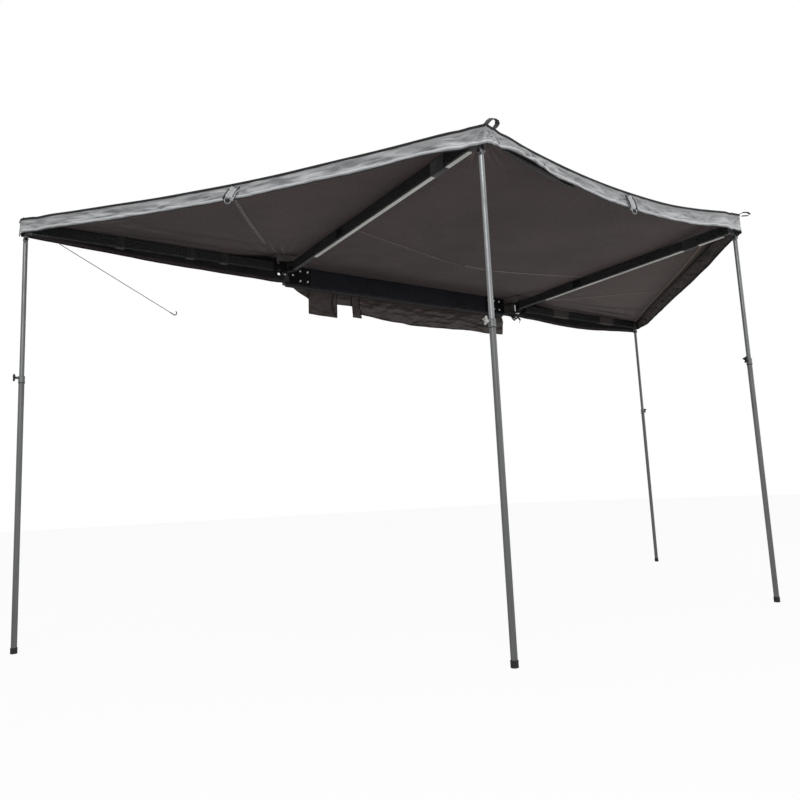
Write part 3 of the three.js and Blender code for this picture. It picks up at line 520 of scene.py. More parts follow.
even, upright = (1, 1, 1), (1.0, 1.0, 0.02)
# centres of the painted crease shade and highlight on the canopy's underside
paintedCreaseShadeFans = [  # centre and reach
    ((2.33, -0.13, 0.03), 0.75), ((-2.33, -0.21, 0.03), 0.6), ((-1.0, -0.2, 0.05), 0.45),
    ((1.0, -0.116, 0.05), 0.45), ((-0.958, -2.0, 0.03), 0.35), ((0.958, -1.916, 0.03), 0.35),
]
coats = {  # dark and light colour, roughness, relief, wear, bare colour, grain and gloss
    "beamCoat": ("0a0b14", "0e0f1b", 0.45, 0.00005, 0.1),
    "armCoat": ("070809", "0d0e0f", 0.5, 0.0001, 0.2),
    "bracketCoat": ("0a0b0d", "111214", 0.65, 0.0001, 0.12, "5a5c5e", 420.0, 0.12),
    "knobPlastic": ("101011", "1a1a1c", 0.5, 0.0003, 0.2, "3a3a3c", 500.0),
    "footRubber": ("1c1c1c", "2a2827", 0.8, 0.0006, 0.4, "4a4846", 300.0),
}
metals = {  # dark and light colour, roughness, scale of the streaks on each axis, relief and metallic
    "zincSteel": ("c2c4c3", "e6e7e6", 0.24, even),
    # zinc bolt heads, near white and barely metallic so that they show as bright dots: partly their own colour,
    # partly painted glints
    "boltZinc": ("dcdddc", "f2f2f0", 0.5, even, 0.0001, 0.15),
    "railSilver": ("b4b5b0", "d9dad4", 0.36, (0.05, 0.05, 1.0)),
    # painted light: the rear middle leg's knob, lighter than the black knobs of the other legs
    "knobZinc": ("8c8d8b", "babab6", 0.36, even, 0.0001, 0.5),
    "legAnodised": ("505253", "6d6f70", 0.4, upright, 0.00002, 0.45),
    # painted light: a paler copy of the leg anodising for the rear middle leg's upper tube
    "legPale": ("666869", "87898a", 0.4, upright, 0.00002, 0.45),
    "legOuterAnodised": ("4a4c4b", "666866", 0.42, upright, 0.00002, 0.45),
    "ringSteel": ("5e6061", "8d8f90", 0.35, even),
}
cloths = {  # dark and light colour, roughness, threads, slow mottle, relief, sheen, stitch lines, thread,
            # pitch, crease fans, and a fade from one place across V to another into a shade
    # the underside's fans and folds are painted shade and highlight
    "canopyUnder": ("332928", "433837", 0.75, 1400.0, 1.6, 0.0002, 0.03, (), "2b2a2a", 0.005, paintedCreaseShadeFans),
    "canopyTop": ("77797b", "8f9193", 0.62, 1400.0, 1.8, 0.0002, 0.25),
    "seamTape": ("3e3533", "554b49", 0.7, 1400.0, 22.0, 0.0002, 0.0, (0.002, 0.012), "7d7470"),
    "seamPale": ("5b504e", "71645f", 0.7, 1400.0, 12.0, 0.0002, 0.0, (0.004, 0.010), "8d837f"),
    # the rows of light dashes on the reflective tape are painted glints
    "reflectTape": ("3a3130", "4b4240", 0.6, 1400.0, 60.0, 0.0003, 0.0, (0.004, 0.009, 0.013, 0.018), "7b726f",
                    0.02),
    "pipingBlack": ("080809", "121213", 0.75, 2600.0, 8.0, 0.0003, 0.1),
    "pipingBrown": ("6a5f5a", "857871", 0.7, 2600.0, 8.0, 0.0003, 0.1),
    # darker than the hem cloth so that it stays dark under the key lamp: dark cloth with painted shade
    "stripBlack": ("0f0c0c", "1a1616", 0.8, 1400.0, 7.0, 0.0003, 0.0),
    # near-black: the valance's inner faces and the edge strips, darker than the brown inner face of the front
    # wing's valance, as painted shade
    "hemInner": ("0e0b0c", "181415", 0.8, 1400.0, 5.0, 0.0003, 0.0, (0.006, 0.05), "3a3432"),
    "hemFront": ("403838", "574e4d", 0.8, 1400.0, 9.0, 0.0003, 0.0, (0.010, 0.02), "151212", 0.005, (),
                 (0.016, 0.007, "0a0707")),
    "hemLower": ("2f2827", "3f3534", 0.8, 1400.0, 7.0, 0.0003, 0.0, (0.004, 0.016), "1a1515", 0.005, (),
                 (0.017, 0.022, "0d0a0a")),
    # fades from near-black at the fold to canopy brown near the inner line: painted shade cast by the valance
    "edgeFront": ("0e0b0b", "171212", 0.8, 1400.0, 9.0, 0.0003, 0.0, (0.047,), "0d0b0b", 0.005, (),
                  (0.010, 0.042, "594c45")),
    "bagCloth": ("3a3230", "4f4643", 0.42, 700.0, 7.0, 0.0004, 0.1, (0.008,), "2b2625"),
    "zipTape": ("17161a", "232227", 0.6, 2200.0, 9.0, 0.0005, 0.1, (0.004, 0.010), "323236", 0.006),
    "webbingBlack": ("111112", "1d1c1c", 0.8, 2200.0, 9.0, 0.0006, 0.2, (0.005, 0.018), "3c3b3a"),
    "webbingSilver": ("8d9091", "aeb0b1", 0.6, 2200.0, 9.0, 0.0006, 0.3, (0.003, 0.022), "4a4b4b"),
    "patchBrown": ("352e2c", "463d3b", 0.75, 1400.0, 6.0, 0.0003, 0.15, (0.006, 0.164), "2f2a29"),
    "ropeBraid": ("454644", "666866", 0.8, 3200.0, 30.0, 0.0006, 0.2),
}
materials = {"valanceFace": valanceMaterial()}
for makeMaterial, specs in ((coatMaterial, coats), (metalMaterial, metals), (clothMaterial, cloths)):
    materials.update({name: makeMaterial(name, *spec) for name, spec in specs.items()})
nodeFinishes = {
    # the clamp bolts' finish carries painted glints
    "backing_beam": "beamCoat", "hinge_bracket": "bracketCoat", "clamp_bolts": "boltZinc",
    "hinge_pin": "zincSteel",
    "arm_tube": "armCoat", "knuckle": "bracketCoat", "tip_fork": "legAnodised", "arm_rail": "railSilver",
    "arm_stop": "bracketCoat", "guy_hook": "knobPlastic",
}
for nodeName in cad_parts:
    for ending, finish in nodeFinishes.items():
        if nodeName.endswith(ending):
            node = bpy.data.objects[nodeName]
            node.data.materials.clear()
            node.data.materials.append(materials[finish])
print("materials made")

# Guy rope from the hem of the rear outer arm to the hook
rope = {"route": [(-2.234, -0.178, -0.0469), (-1.929, -0.089, -0.1713), (-1.624, 0.0, -0.2956)],
        "radius": 0.0021,
        "strands": 3, "lay": 0.028, "strandDepth": 0.0004, "steps": 420, "sides": 24, "grain": 0.0006}


def makeRope():
    # a round section whose edge waves three times round, turning once in each lay length
    path = alongPath(rope["route"], rope["steps"])
    along = distances(path)
    turn = circle(rope["sides"])[None] * rope["strands"] + along[:, None] * 2 * np.pi / rope["lay"]
    edge = rope["radius"] - rope["strandDepth"] * (0.5 - 0.5 * np.cos(turn))
    piece = tubePiece("guyRope", path, edge, rope["sides"], "ropeBraid", grain=rope["grain"])
    carry(piece, "beam", "guy_rope")
    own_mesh(piece)


makeRope()
print("rope made")

# The awning's own sizes, in metres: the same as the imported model's
awning = {
    "pinX": 1.0, "armPitch": 0.042, "rearReach": 0.2, "frontReach": 0.116, "midArm": 1.8, "outerArm": 1.39,
    "armHalfHeight": 0.028, "armHalfWidth": 0.014, "hemOffset": 0.022, "tipOverhang": 0.021,
    "cornerOverhang": 0.03613, "beamEnd": 0.92, "beamDepth": 0.04, "clothOverArm": 0.03215,
    "clothOverBeam": 0.08355, "riseDistance": 0.45, "riseFlat": 0.1, "cornerLift": 0.025, "liftReach": 0.6,
    "inset": 0.02, "hingeCover": 0.02, "legPivot": -0.0586, "ground": -2.04,
}
seamX = awning["pinX"] - awning["armPitch"]
rearTipY = -awning["rearReach"] - awning["midArm"]
frontTipY = -awning["frontReach"] - awning["midArm"]

# Canopy: four panels that meet on the middle arms and halfway along the beam
canopy = {
    "thickness": 0.0012, "rows": 96, "columns": 110, "sideSag": 0.012, "middleSag": 0.008,
    "panelSag": 0.014, "rearCurve": 0.052, "middleCurve": 0.098, "frontCurve": 0.03, "rearRounding": 0.012,
    "frontRounding": 0.09, "wrinkle": 0.0035, "wrinkleFade": 0.32, "wrinkleStart": 0.08, "wrinkleFolds": 17,
    "drift": 0.0025,
}
corners = {
    "rearTip": (-awning["pinX"] - awning["outerArm"], -awning["rearReach"]), "rearMid": (-seamX, rearTipY),
    "frontMid": (seamX, frontTipY), "frontTip": (awning["pinX"] + awning["outerArm"], -awning["frontReach"]),
    "rearHinge": (-awning["pinX"], -awning["rearReach"]), "frontHinge": (awning["pinX"], -awning["frontReach"]),
}


def canopyHeight(x, y):
    # over the arms, rising near the beam and pulled up a little at the front middle arm's tip
    pastEnd = np.maximum(np.abs(x) - awning["beamEnd"], 0)
    pastFront = np.maximum(-y - awning["beamDepth"], 0)
    nearness = 1 + awning["riseFlat"] - np.hypot(pastEnd, pastFront) / awning["riseDistance"]
    lift = awning["cornerLift"] * smoothStep(1 - np.hypot(x - seamX, y - frontTipY) / awning["liftReach"])
    low, high = awning["clothOverArm"], awning["clothOverBeam"]
    return low + (high - low) * smoothStep(nearness) + lift


def clothCreases(x, y):
    # folds that fan out from the corners and fade away, plus slow unevenness
    total = canopy["drift"] * softNoise(x / 0.35 + 20, y / 0.3 + 20, 11)
    for number, (cx, cy) in enumerate(corners.values()):
        away = np.hypot(x - cx, y - cy)
        turn = np.arctan2(y - cy, x - cx)
        waver = 2.2 * softNoise(away / 0.3, turn * 2 + 9, 30 + number)
        fan = np.sin(turn * canopy["wrinkleFolds"] + waver + number)
        fade = np.exp(-away / canopy["wrinkleFade"]) * smoothStep(away / canopy["wrinkleStart"])
        total = total + canopy["wrinkle"] * fan * fade
    return total


def panelEdges(panel):
    # inner edge at the beam and outer edge with its corners, both from rear to front
    if panel in ("rearWing", "frontWing"):
        side = -1 if panel == "rearWing" else 1
        reach = awning["rearReach"] if side < 0 else awning["frontReach"]
        armLine = awning["hemOffset"] - reach
        tipX = side * (awning["pinX"] + awning["outerArm"] + awning["tipOverhang"])
        far = np.array([tipX, -awning["hemOffset"] - reach])
        mid = np.array([side * seamX, -reach - awning["midArm"] - awning["cornerOverhang"]])
        t = np.linspace(0, 1, 200)[:, None]
        chord = mid - far
        inward = np.array([-side * abs(chord[1]), abs(chord[0])]) / np.hypot(*chord)
        curve = canopy["rearCurve"] if side < 0 else canopy["frontCurve"]
        diagonal = far + chord * t + inward * curve * bulge(t)
        outer = np.concatenate([[[tipX, armLine]], diagonal])
        inner = np.array([[side * (awning["pinX"] + awning["hingeCover"]), armLine],
                          [side * seamX, -awning["inset"]]])
        rounding = canopy["rearRounding"] if side < 0 else canopy["frontRounding"]
        outer = alongPath(outer, canopy["columns"], rounding)
        inner = alongPath(inner, canopy["columns"])
        return (inner, outer) if side < 0 else (inner[::-1], outer[::-1])  # always from rear to front
    rear = np.array([-seamX, rearTipY - awning["cornerOverhang"]])
    front = np.array([seamX, frontTipY - awning["cornerOverhang"]])
    t = np.linspace(0, 0.5, canopy["columns"]) + (0.5 if panel == "frontMiddle" else 0)
    outer = rear + (front - rear) * t[:, None] + np.array([0, canopy["middleCurve"]]) * bulge(t)[:, None]
    return np.stack([outer[:, 0], np.full(len(t), -awning["inset"])], -1), outer


def panelPoints(panel):
    # straight lines from the inner edge to the outer edge, at the canopy's height and sagging between the arms
    inner, outer = panelEdges(panel)
    s, t = shareGrid(canopy["rows"], canopy["columns"])
    flat = inner[None] * (1 - s[..., None]) + outer[None] * s[..., None]
    x, y = flat[..., 0], flat[..., 1]
    if panel in ("rearWing", "frontWing"):
        sag = canopy["sideSag"] * bulge(t) ** 2 * s ** 2
        sag = sag + canopy["panelSag"] * bulge(t) * bulge(s) * s
        free = smoothStep(bulge(t) * 4)
    else:
        share = t / 2 + (0.5 if panel == "frontMiddle" else 0)
        sag = canopy["middleSag"] * bulge(share) ** 2 * s ** 2
        sag = sag + canopy["panelSag"] * 1.5 * bulge(share) * bulge(s)
        free = smoothStep(bulge(share) * 6)
    clear = smoothStep((s - 0.06) / 0.12)
    z = canopyHeight(x, y) - sag * clear + clothCreases(x, y) * free * clear
    return np.stack([x, y, z], -1)


folding = {  # body, then joint, axis and place for flattening that nothing here reads; only the body is used
    "rearWing": ("rear_mid_arm", "rear_outer_fold", (1, 0, 0), (-0.979, 0, 0), 0.004),
    "rearMiddle": ("beam", "rear_fold", (0, 1, 0), (0, -0.0566, 0), 0.0014),
    "frontMiddle": ("beam", "front_fold", (0, 1, 0), (0, -0.0566, 0), 0.0014),
    "frontWing": ("front_mid_arm", "front_outer_fold", (1, 0, 0), (0.979, 0, 0), 0.004),
}
canopyNodes = {"rearWing": "rear_wing_canopy", "rearMiddle": "rear_middle_canopy",
               "frontMiddle": "front_middle_canopy", "frontWing": "front_wing_canopy"}


def foldWith(piece, panel):
    body, joint, axis, anchor, keep = folding[panel]
    carry(piece, body)
    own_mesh(piece)


def sewnCord(name, panel, path, radius, sides=8, finish="pipingBlack"):
    # a cord along a seam or a hem, carried by the same body as its panel
    line = tubePiece(name, path, radius, sides, finish)
    foldWith(line, panel)
    return line


panels = {}
for panel in folding:
    points = panelPoints(panel)
    panels[panel] = points
    piece = sheetPiece(panel + "Canopy", points, canopy["thickness"], points[..., :2], "canopyTop",
                       "canopyUnder")
    foldWith(piece, panel)
    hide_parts(canopyNodes[panel])
print("canopy made")

# Valance: the strip that hangs from the canopy's outer edge
valance = {
    "thickness": 0.0016, "rows": 30, "columns": 520, "outward": 0.003, "wave": 0.0075, "hemDepth": 0.020,
    "hemStep": 0.0014,
    "middleDrops": [(-0.96, 0.077), (-0.93, 0.074), (-0.87, 0.061), (-0.80, 0.049), (-0.72, 0.043),
                    (-0.57, 0.046), (-0.50, 0.056), (-0.43, 0.063), (-0.28, 0.069), (-0.13, 0.074),
                    (0.18, 0.078), (0.48, 0.081), (0.63, 0.086), (0.77, 0.083), (0.96, 0.092)],
    "rearDrop": 0.067, "frontDrop": 0.100, "piping": 0.0064, "hemCord": 0.0024, "innerCord": 0.0034,
    "hemRise": 2.5, "hemPitch": 0.13, "stillEnd": 0.03, "fan": 0.0055, "fanFolds": 11, "fanReach": 0.11,
    "inner": {"frontWing": "hemFront"}, "streak": 0.0055, "streakPitch": 0.017, "mitre": 0.02,
    "innerDrops": [(-0.90, 0.045), (-0.85, 0.051), (-0.80, 0.057), (-0.727, 0.064), (-0.613, 0.073),
                   (-0.50, 0.078), (-0.42, 0.076), (-0.33, 0.066)],
    "folds": [(0.5, 0.085, 1.1, 1.2, 4), (0.4, 0.05, -1.3, 1.8, 7), (0.3, 0.26, 0, 4, 2),
              (0.16, 0.022, 1.6, 2.5, 5)],
    "calm": {"frontWing": 0.35}, "fanEnds": {"rearMiddle": (1, 0), "frontMiddle": (0, 1)},
}


def outwardAlong(panel, count):
    # the outer edge in even steps, with the level direction that points away from the canopy
    edge = alongPath(panels[panel][-1], count)
    out = edge - alongPath(panels[panel][-4], count)
    tangent = np.gradient(edge, axis=0)
    out[:, 2] = tangent[:, 2] = 0
    tangent = unit(tangent)
    return edge, unit(out - tangent * (out * tangent).sum(-1, keepdims=True))


def mitred(panel):
    # where two panels meet at a corner, both turn their outward direction to the line that halves it
    edge, out = outwardAlong(panel, valance["columns"])
    reach = distances(edge)
    for other in folding:
        otherEdge, otherOut = outwardAlong(other, valance["columns"])
        for end, otherEnd in ((0, -1), (-1, 0)):
            if other != panel and np.linalg.norm(edge[end] - otherEdge[otherEnd]) < 0.005:
                middle = unit(out[end] + otherOut[otherEnd])
                middle = middle / (middle @ out[end])
                near = 1 - smoothStep(np.abs(reach - reach[end]) / valance["mitre"])[:, None]
                out = out + (middle - out) * near
    return edge, out


def hangFromEdge(edge, out, drop, seed, wave, outward, fans=(0, 0), hem=True):
    # the edge repeated downwards, pushed out by slanting folds that grow towards the hem and by a fan of
    # folds at each corner, a sine of the angle seen from the corner; UV counts up from the hem
    reach = distances(edge)
    u, v = reach[None], np.linspace(0, 1, valance["rows"])[:, None]
    drop = drop[None] * (1 + wave * valance["hemRise"] * softNoise(u / valance["hemPitch"], u * 0 + 3, seed))
    ends = smoothStep(np.minimum(u, reach[-1] - u) / valance["stillEnd"])
    push = outward + wave * foldNoise(valance["folds"], u, v, seed) * smoothStep(v * 1.6) * ends
    height = v * drop
    streaks = 0
    for lean, extra in ((0.40, 11), (-0.32, 12)):  # slope of the streaks in radians, and a number for the seed
        along = u * np.cos(lean) + height * np.sin(lean)
        across = height * np.cos(lean) - u * np.sin(lean)
        streaks = streaks + softNoise(along / 0.10 + 5, across / valance["streakPitch"] + 90, seed + extra)
    push = push + (valance["streak"] * streaks * bulge(v) * ends if hem else 0)
    farOff = 9  # metres, out of every fan's reach
    near = np.minimum(u + farOff * (1 - fans[0]), reach[-1] - u + farOff * (1 - fans[1]))
    turn = np.arctan2(v * drop, near + 0.004)
    fade = np.exp(-(near / valance["fanReach"]) ** 2) * smoothStep(near / 0.012) * smoothStep(v * 3)
    fan = np.sin(turn * valance["fanFolds"] + seed) * fade * (1 - 0.65 * smoothStep((v - 0.65) / 0.3))
    if hem:
        step = valance["hemStep"] * smoothStep((v * drop - (drop - valance["hemDepth"])) / 0.003)
        push = push + valance["fan"] * fan + step
    points = edge[None] + out[None] * push[..., None]
    points[..., 2] = edge[None, :, 2] - drop * v
    return points, together(u, drop * (1 - v))


def valanceDrop(panel, x):
    # deeper by 10 mm where the rear wing meets the middle arm, and shallower by 34 mm at the front wing's tip
    if panel == "rearWing":
        return valance["rearDrop"] + 0.010 * smoothStep((x + 1.12) / 0.13)
    if panel == "frontWing":
        return valance["frontDrop"] - 0.034 * smoothStep((x - 2.15) / 0.27)
    return fromTable(valance["middleDrops"], x)


def makeValance(panel):
    edge, out = mitred(panel)
    seed = 50 + list(folding).index(panel)
    points, uv = hangFromEdge(edge, out, valanceDrop(panel, edge[:, 0]), seed,
                              valance["wave"] * valance["calm"].get(panel, 1), valance["outward"],
                              valance["fanEnds"].get(panel, (1, 1)))
    # the valance's inner face is near-black painted shade, except on the front wing
    piece = sheetPiece(panel + "Valance", points, valance["thickness"], uv, "valanceFace",
                       valance["inner"].get(panel, "hemInner"))
    foldWith(piece, panel)
    cord = edge + out * (valance["outward"] * 0.6) + np.array([0, 0, 0.0025])
    line = sewnCord(panel + "Piping", panel, cord, valance["piping"], 10)
    lower = sewnCord(panel + "HemCord", panel, points[-1], valance["hemCord"])
    return [piece, line, lower]


def makeInnerValance():
    # a dark strip with a black cord along it, which shows below the silver one beside the rear middle arm; its
    # cloth is darker than the hem cloth as painted shade
    edge, out = outwardAlong("rearMiddle", valance["columns"])
    drops = valance["innerDrops"]
    keep = (edge[:, 0] > drops[0][0]) & (edge[:, 0] < drops[-1][0])
    edge, out = edge[keep], out[keep]
    drop = fromTable(drops, edge[:, 0])
    points, uv = hangFromEdge(edge, out, drop, 90, 0.002, -0.006, hem=False)
    strip = sheetPiece("innerValance", points, valance["thickness"], uv, "stripBlack")
    foldWith(strip, "rearMiddle")
    return [strip, sewnCord("innerValanceCord", "rearMiddle", points[-1], valance["innerCord"], 10)]


sheetParts = {panel: makeValance(panel) for panel in folding}
sheetParts["rearMiddle"] += makeInnerValance()
print("valance made")

# Tapes sewn under the canopy: one across each wing and the seams of the middle panels
tapeShape = {"gap": 0.0012, "thickness": 0.0007, "columns": 140, "rows": 5, "rounding": 0.05}
tapes = {
    "rearTriangleTape": {"panel": "rearWing", "route": [(-1.59, -0.96), (-1.421, -0.722), (-1.235, -0.475)],
                         "width": 0.022, "finish": "reflectTape"},
    "frontTriangleSeam": {"panel": "frontWing",
                          "route": [(1.17, -0.30), (1.307, -0.472), (1.499, -0.689), (1.75, -0.90)],
                          "width": 0.014, "finish": "seamPale"},
    "rearCentreSeam": {"panel": "rearMiddle",
                       "route": [(-0.93, -0.885), (-0.64, -0.825), (-0.39, -0.772), (-0.16, -0.715),
                                 (-0.01, -0.70)],
                       "width": 0.014, "finish": "seamTape"},
    "frontCentreSeam": {"panel": "frontMiddle",
                        "route": [(0.01, -0.70), (0.24, -0.695), (0.567, -0.758), (0.861, -0.822),
                                  (0.93, -0.838)],
                        "width": 0.014, "finish": "seamPale"},
}


def underPanel(panel, flat):
    # heights of the canopy's lower face at flat places, from the nearest points of its grid
    grid = panels[panel].reshape(-1, 3)
    flat = np.asarray(flat, float)
    away = (flat[:, :1] - grid[None, :, 0]) ** 2 + (flat[:, 1:] - grid[None, :, 1]) ** 2
    nearest = np.argpartition(away, 4, axis=1)[:, :4]
    weight = 1 / (np.take_along_axis(away, nearest, 1) + 1e-8)
    return (grid[nearest, 2] * weight).sum(1) / weight.sum(1) - canopy["thickness"] / 2 - tapeShape["gap"]


def makeTape(name, spec):
    columns, rows, width = tapeShape["columns"], tapeShape["rows"], spec["width"]
    route = alongPath(spec["route"], columns, tapeShape["rounding"])
    tangent = unit(np.gradient(route, axis=0))
    side = np.stack([-tangent[:, 1], tangent[:, 0]], -1)
    across = np.linspace(-0.5, 0.5, rows)[:, None, None] * width
    flat = route[None] + across * side[None]
    z = underPanel(spec["panel"], flat.reshape(-1, 2)).reshape(flat.shape[:2])
    points = np.concatenate([flat, z[..., None]], -1)[::-1]
    reach = np.linspace(0, distances(route)[-1], columns)
    uv = together(reach[None], np.linspace(0, width, rows)[:, None])
    tape = sheetPiece(name, points, tapeShape["thickness"], uv, spec["finish"])
    foldWith(tape, spec["panel"])
    sheetParts[spec["panel"]].append(tape)


for tapeName, tapeSpec in tapes.items():
    makeTape(tapeName, tapeSpec)

# Edge strips under the canopy, along the outer edge of each panel, dark with painted shade from the valance
edgeStrip = {
    "columns": 300, "rows": 9, "start": 0.02, "lower": 0.001, "ripple": 0.002, "thickness": 0.0008,
    "cord": 0.0026, "cordLower": 0.002, "length": 2.3, "depth": 0.05,
}


def makeEdgeStrip(panel, shares, finish):
    # a strip under the canopy from its outer edge to a line a little way in, with a light cord along that line
    count, across = edgeStrip["columns"], np.linspace(edgeStrip["start"], 1, edgeStrip["rows"])
    edge, out = outwardAlong(panel, count)
    t = np.linspace(0, 1, count)[:, None]
    width = fromTable(shares, t[:, 0])[:, None]
    rows = []
    for share in across:
        flat = edge[:, :2] - out[:, :2] * width * share
        ripple = softNoise(t[:, 0] * 24, np.full(count, share * 2.0 + 3), 95) * bulge(share)
        height = underPanel(panel, flat) - edgeStrip["lower"] + edgeStrip["ripple"] * ripple
        rows.append(np.column_stack([flat, height]))
    points = np.stack(rows)[::-1]
    uv = together(t[None, :, 0] * edgeStrip["length"], (across[::-1] * edgeStrip["depth"])[:, None])
    strip = sheetPiece(panel + "EdgeStrip", points, edgeStrip["thickness"], uv, finish)
    foldWith(strip, panel)
    cord = points[0] - (0, 0, edgeStrip["cordLower"])
    line = sewnCord(panel + "EdgeCord", panel, cord, edgeStrip["cord"], finish="pipingBrown")
    sheetParts[panel] += [strip, line]


# the front wing's strip is canopy brown with painted shade darkening it towards the fold
makeEdgeStrip("frontWing", [(0.0, 0.085), (0.2, 0.06), (0.45, 0.045), (0.75, 0.035), (1.0, 0.03)], "edgeFront")
# near-black painted shade on the other edge strips
makeEdgeStrip("rearWing", [(0.0, 0.03), (1.0, 0.05)], "hemInner")
makeEdgeStrip("rearMiddle", [(0.0, 0.05), (1.0, 0.04)], "hemInner")
makeEdgeStrip("frontMiddle", [(0.0, 0.04), (1.0, 0.05)], "hemInner")
print("tapes made")

# Hem strips that hang beside the outer arms, inside the wings
hemStrip = {
    "start": 0.985, "clearOfBracket": 1.0305, "bracketDrop": 0.0395, "thickness": 0.0014, "rows": 26,
    "columns": 320, "wave": 0.0032, "smoothing": 17,
    "lower": {-1: [(0.985, 0.083), (1.05, 0.087), (1.18, 0.082), (1.50, 0.076), (1.78, 0.068), (2.04, 0.055),
                   (2.232, 0.0442), (2.37, 0.036), (2.42, 0.036)],
              1: [(0.985, 0.060), (1.10, 0.067), (1.306, 0.077), (1.474, 0.088), (1.65, 0.092),
                  (1.83, 0.089), (2.15, 0.069), (2.376, 0.056), (2.42, 0.056)]},
}


def makeHem(side):
    # a strip along the arm from the canopy to a measured lower edge; over the hinge it starts below the bracket
    reach = awning["rearReach"] if side < 0 else awning["frontReach"]
    y = awning["hemOffset"] - reach
    tipX = awning["pinX"] + awning["outerArm"] + awning["tipOverhang"] - canopy["thickness"]
    s, t = shareGrid(hemStrip["rows"], hemStrip["columns"])
    distance = hemStrip["start"] + (tipX - hemStrip["start"]) * t
    x = side * distance
    spread = hemStrip["smoothing"]
    lower = fromTable(hemStrip["lower"][side], distance[0])
    lower = np.convolve(np.pad(lower, spread // 2, mode="edge"), np.full(spread, 1 / spread), "valid")[None]
    top = np.where(np.abs(x) > hemStrip["clearOfBracket"], canopyHeight(x, y), -hemStrip["bracketDrop"])
    drop = top + lower
    wave = softNoise(t * 14 + s, s * 2 + 3, 80 + side) + 0.5 * softNoise(t * 40 + s * 2, s * 6 + 3, 84 + side)
    wave = hemStrip["wave"] * smoothStep(s * 1.5) * wave
    points, uv = together(x, y + wave, top - drop * s), together(np.abs(x), drop * (1 - s))
    if side > 0:
        points, uv = points[:, ::-1], uv[:, ::-1]
    name = "rear" if side < 0 else "front"
    piece = sheetPiece(name + "Hem", points, hemStrip["thickness"], uv, "hemLower")
    carry(piece, name + "_outer_arm")
    line = tubePiece(name + "HemPiping", points[-1], 0.0024, 8, "pipingBlack")
    carry(line, name + "_outer_arm")
    fold = tubePiece(name + "HemFold", points[11] - np.array([0, 0.0016, 0]), 0.0016, 8, "pipingBlack")
    carry(fold, name + "_outer_arm")
    return [piece, line, fold]


hemParts = {"rearWing": makeHem(-1), "frontWing": makeHem(1)}
print("hems made")

# Legs: inner and outer tube, clamp collar, wing knob and foot, turned smooth
legs = {
    "rear_outer": {"at": (-2.39, -0.2), "knob": (-1, 0), "finish": "knobPlastic"},
    # the rear middle leg takes lighter copies of the tube and knob finishes as painted light; the black of the
    # other wing knobs is painted shade
    "rear_mid": {"at": (-0.958, -2.0), "knob": (-1, 0), "finish": "knobZinc", "tube": "legPale"},
    "front_mid": {"at": (0.958, -1.916), "knob": (-1, 0), "finish": "knobPlastic"},
    "front_outer": {"at": (2.39, -0.116), "knob": (1, 0), "finish": "knobPlastic"},
}
legShape = {
    "sides": 48, "inner": 0.011, "outer": 0.013, "outerTop": -0.7647, "outerBottom": -2.0297,
    "innerBottom": -1.219, "innerTop": -0.0786, "collar": 0.0153, "collarTop": -0.7484,
    "collarBottom": -0.7804, "screwHeight": -0.7564, "chamfer": 0.0006, "tang": 0.0105, "tangFoot": -0.026,
    "foot": 0.0153, "footRim": -2.0125, "bossReach": 0.0213, "knobStart": 0.0218, "hubEnd": 0.0268,
    "knobEnd": 0.0328, "lobeAt": 0.0150, "lobeRadius": 0.0075, "waist": 0.0052, "pinch": 0.0022, "tilt": 22,
    "wingSweep": 0.0045, "outerBore": 0.0119, "collarBore": 0.0113, "seat": 0.0133, "footFloor": 0.0099,
    "gasket": (0.0136, 0.0150),
}


def ridged(radius, low, high, rings, depth):
    # a profile with shallow grooves between two heights
    heights = np.linspace(low, high, rings * 4 + 1)
    groove = np.tile([0, 1, 1, 0], rings)[:len(heights) - 1]
    return [(radius - depth * g, h) for g, h in zip(np.append(groove, 0), heights)]


def makeLeg(name, spec):
    shape, ground = legShape, awning["ground"]
    place = Matrix.Translation((*spec["at"], 0))

    def turned(title, part, slotName, finish, profile, node=None, ring=True):
        piece = turnedPiece(name + "." + title, profile, shape["sides"], place, finish, ring)
        carry(piece, name + "_leg_" + part, node and name + "_leg_" + node)

    radius, low, high, chamfer = shape["inner"], shape["innerBottom"], shape["innerTop"], shape["chamfer"]
    turned("innerTube", "upper", "leg_metal", spec.get("tube", "legAnodised"), [
        (radius - chamfer, low), (radius, low + chamfer), (radius, high - chamfer), (radius - chamfer, high)],
        "inner_tube", False)
    makeLegHead(name)
    radius, low, outerTop = shape["outer"], shape["outerBottom"], shape["outerTop"]
    turned("outerTube", "lower", "leg_metal", "legOuterAnodised", [
        (radius, low), (radius, outerTop - chamfer), (radius - chamfer, outerTop),
        (shape["outerBore"], outerTop), (shape["outerBore"], low)], "outer_tube")
    radius, low, high = shape["collar"], shape["collarBottom"], shape["collarTop"]
    turned("collar", "lower", "leg_metal", "legAnodised", [
        (radius - 0.001, low), (radius, low + 0.001), (radius, low + 0.005), (radius - 0.0008, low + 0.0058),
        (radius - 0.0008, high - 0.0058), (radius, high - 0.005), (radius, high - 0.001),
        (radius - 0.001, high), (shape["collarBore"], high), (shape["collarBore"], outerTop + 0.0003),
        (shape["seat"], outerTop + 0.0003), (shape["seat"], low)], "clamp_collar")
    inside, outside = shape["gasket"]
    turned("gasket", "lower", "black_plastic", "knobPlastic", [
        (inside, low - 0.003), (outside, low - 0.0025), (outside, low - 0.0002), (inside, low - 0.0002)])
    radius, rim = shape["foot"], shape["footRim"]
    turned("foot", "lower", "foot_rubber", "footRubber", [(radius - 0.002, ground), (radius, ground + 0.002)]
           + ridged(radius, ground + 0.006, rim - 0.006, 2, 0.0006)
           + [(radius, rim - 0.0015), (radius - 0.0015, rim), (shape["seat"], rim),
              (shape["seat"], ground + shape["footFloor"])], "foot", False)
    makeKnob(name, spec, place)


